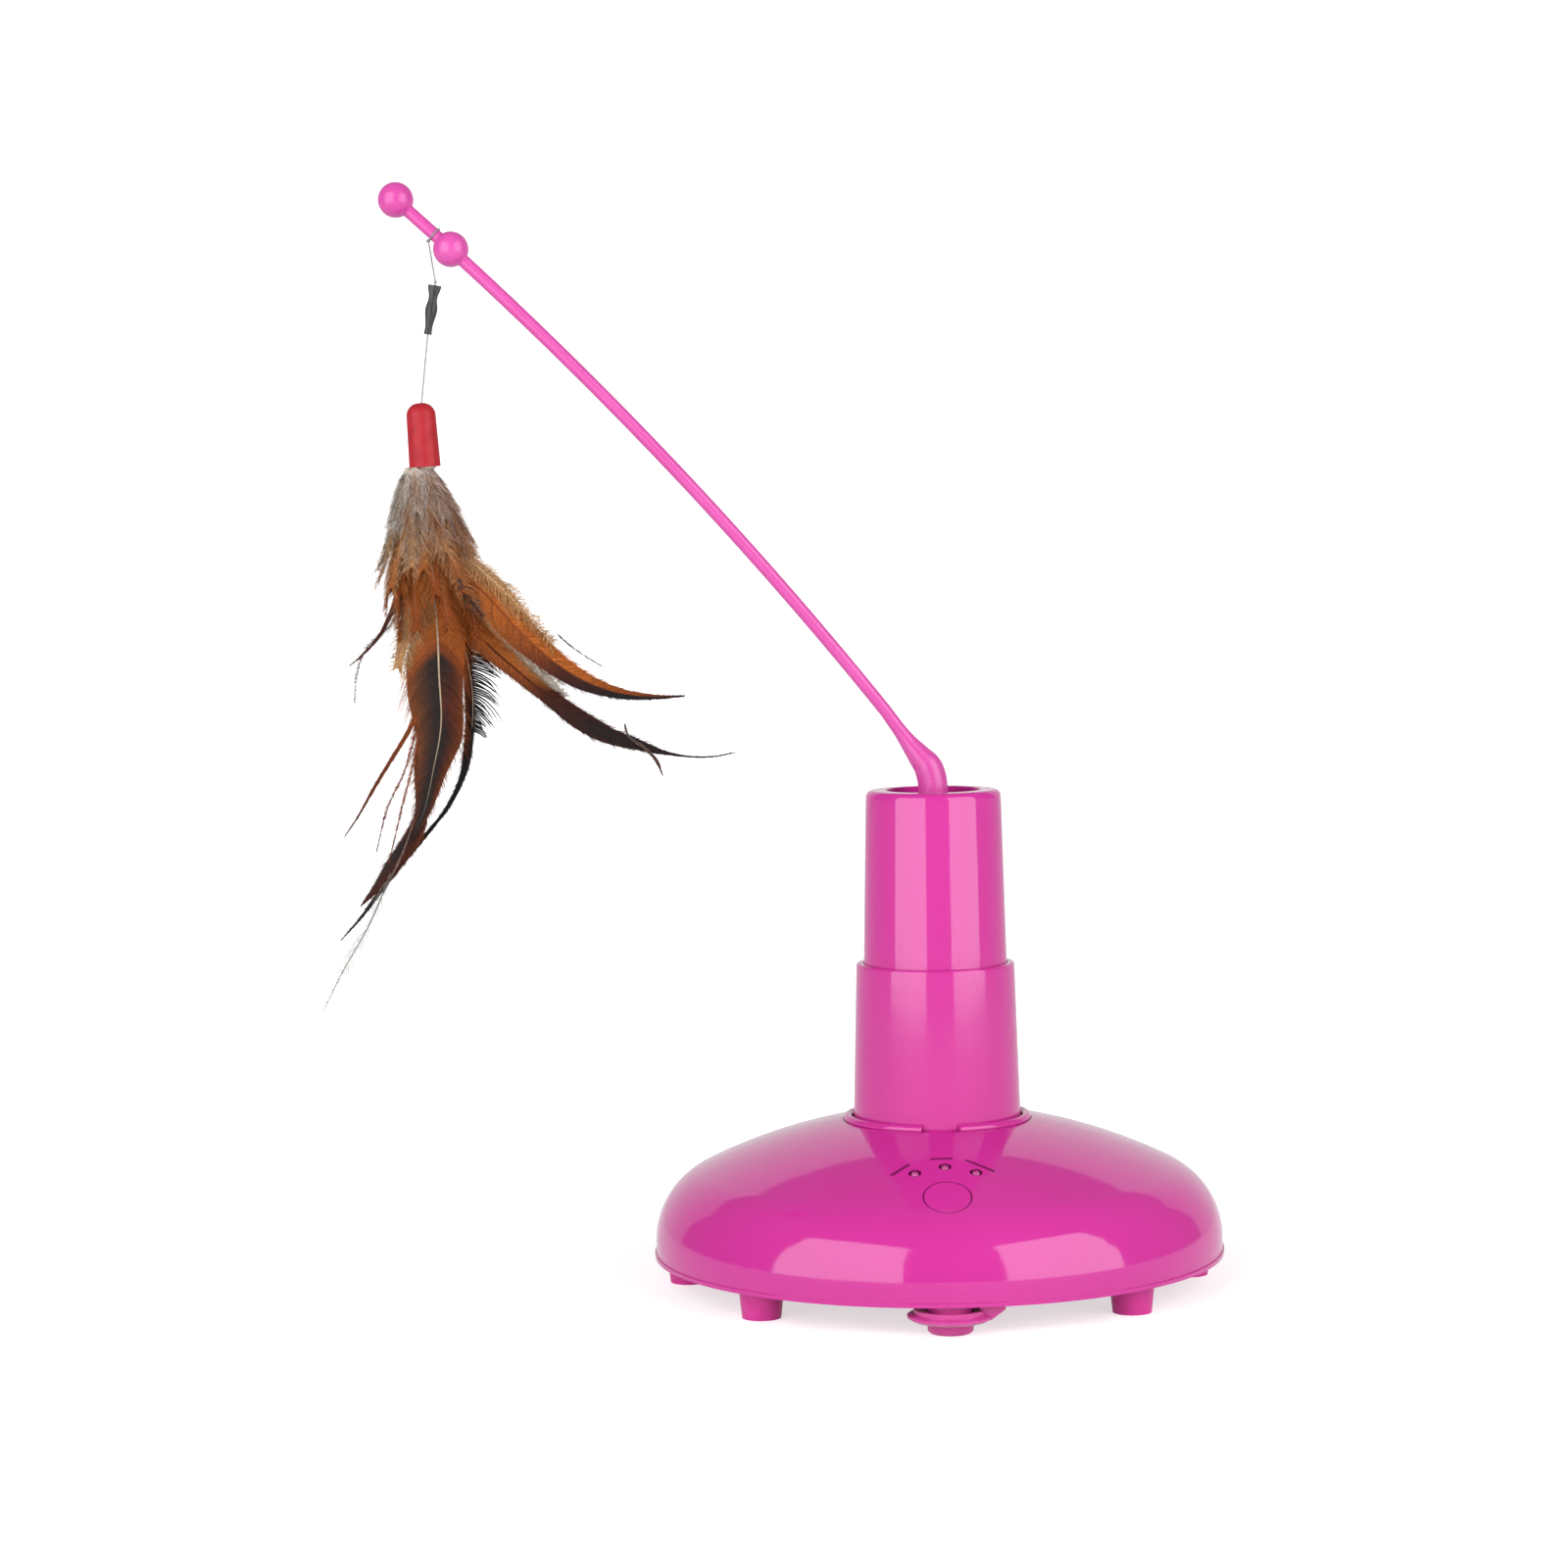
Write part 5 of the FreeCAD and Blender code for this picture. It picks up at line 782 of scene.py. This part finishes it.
# Black hackle: a thin black feather that curls away behind the middle one and below it, with a row of
# free barbs, barred black and white, at its upper right.
plumage("black_hackle", [
    feather(at_depth(9.6, (-176, 262), (-171.5, 240), (-170.5, 221.8), (-170.3, 205.6), (-172.8, 189.5),
                     (-178.9, 177), (-186.5, 167.6), (-195.6, 157.3), (-203.4, 147.6), (-212.3, 136),
                     (-219.6, 128)), towards,
            [(0, 2), (0.3, 2), (0.45, 2.4), (0.52, 1.4), (0.62, 0.8), (0.75, 1.1), (0.9, 0.8), (1, 0.2)],
            [(0, 2), (0.3, 2), (0.45, 1.6), (0.52, 1), (0.62, 0.7), (0.75, 1.1), (0.9, 0.7), (1, 0.2)],
            [(0, slate, soot, soot, slate), even(0.2, soot), even(1, soot)],
            41, ragged=0.6, sweep=2.2, shaft=0.35, shaft_tone=soot),
    feather(at_depth(9, (-173, 242), (-170.5, 230), (-169, 218), (-169.5, 205)), towards,
            [(0, 1), (1, 1)], [(0, 4), (0.5, 9), (0.9, 8), (1, 5)], [even(0, mist), even(1, mist)],
            42, pitch=0.85, ragged=0.15, fluff=0.3, sweep=0.9, cup=0.4, shaft=0.2, barb=0.5, bars=2.5,
            web=0)],
        dark_barbs, "hackle_dark", "dark_hackle")

# Grey wisp: one long shaft behind the middle hackle, with a few loose grey barbs on the end that shows
# below. It is the lowest feather of the bunch.
plumage("grey_wisp", [
    feather([(-186, 1.4, 262), (-186.5, 1.4, 235), (-186, 1.4, 205), (-189, 1.4, 180), (-195, -3, 161),
             (-201.6, -8, 147.4)], towards,
            [(0, 0.3), (1, 0.3)], None, [even(0, umber), even(1, slate)],
            51, pitch=0.5, sweep=3, shaft=0.1, shaft_tone=umber, web=0),
    feather([(-199, -6, 154), (-201.6, -8, 147.4), (-207, -9.4, 135.6), (-217.4, -9.4, 117.8),
             (-224.3, -9.4, 104.4)], towards,
            [(0, 0.3), (0.3, 3), (0.8, 2), (1, 0.1)], None,
            [(0, mist, slate, slate, mist), (1, mist, slate, slate, mist)],
            52, pitch=0.7, ragged=0.5, fluff=0.4, sweep=4, shaft=0.2, shaft_tone=slate, barb=0.2, web=0)],
        down, "down", "grey_hackle")

# Upper left strands: two thin feathers that stick out of the tuft at the left, a dark one and behind it
# a grey one, glued in the cap like the rest.
plumage("upper_left_strands", [
    feather(at_depth(5.4, (-191, 264), (-197.8, 249.2), (-202.7, 240.3), (-210.1, 232.5), (-213.6, 229.8)),
            towards, [(0, 2), (0.5, 0.9), (1, 0.2)], [(0, 2), (0.5, 0.8), (1, 0.2)],
            [(0, umber, bark, bark, umber), even(1, bark)],
            61, ragged=0.2, sweep=2.6, shaft=0.25, shaft_tone=bark),
    feather(at_depth(6.6, (-190, 262), (-199, 243.8), (-208.2, 235), (-211.4, 226), (-212.4, 215.6)),
            towards, [(0, 2), (0.6, 0.9), (1, 0.1)], None,
            [(0, mist, slate, slate, mist), (1, mist, slate, slate, mist)],
            62, pitch=0.4, ragged=0.3, fluff=0.4, sweep=3, shaft=0.15, shaft_tone=slate, barb=0.4, web=0)],
        dark_barbs, "hackle_dark", "left_hackle_upper")

# Lower left strands: three hair-thin feathers that leave from behind the middle hackle's left edge, the
# longest first.
plumage("lower_left_strands", [
    feather([(-187, 1.2, 262), (-187, 1.2, 235), (-189, 0.8, 212), (-193.5, -2, 203), (-198.3, -4, 195.3),
             (-204, -5.4, 186.2), (-211.4, -5.4, 173.8), (-216.2, -5.4, 167)], towards,
            [(0, 0.8), (0.5, 1), (0.8, 0.7), (1, 0.1)], None,
            [even(0, umber), even(0.5, umber), even(1, bark)],
            71, ragged=0.2, sweep=3, shaft=0.2, shaft_tone=bark),
    feather([(-188, 1, 215), (-191, 0, 200), (-194.1, -2.5, 189.8), (-199.4, -4.8, 179.1),
             (-204.4, -4.8, 161.4)], towards,
            [(0, 0.5), (0.6, 0.7), (1, 0.1)], None, [even(0, umber), even(1, bark)],
            72, pitch=0.4, ragged=0.3, fluff=0.2, sweep=3, shaft=0.14, shaft_tone=umber, barb=0.5, web=0),
    feather([(-188, 1, 210), (-190, 0, 196), (-193, -3, 184.4), (-197.1, -5, 168.2), (-199.8, -5.4, 157.6)],
            towards, [(0, 0.5), (0.6, 0.7), (1, 0.1)], None,
            [even(0, umber), (1, rust, bark, bark, rust)],
            73, pitch=0.4, ragged=0.3, fluff=0.2, sweep=3, shaft=0.14, shaft_tone=umber, barb=0.5, web=0)],
        dark_barbs, "hackle_dark", "left_hackle_lower")
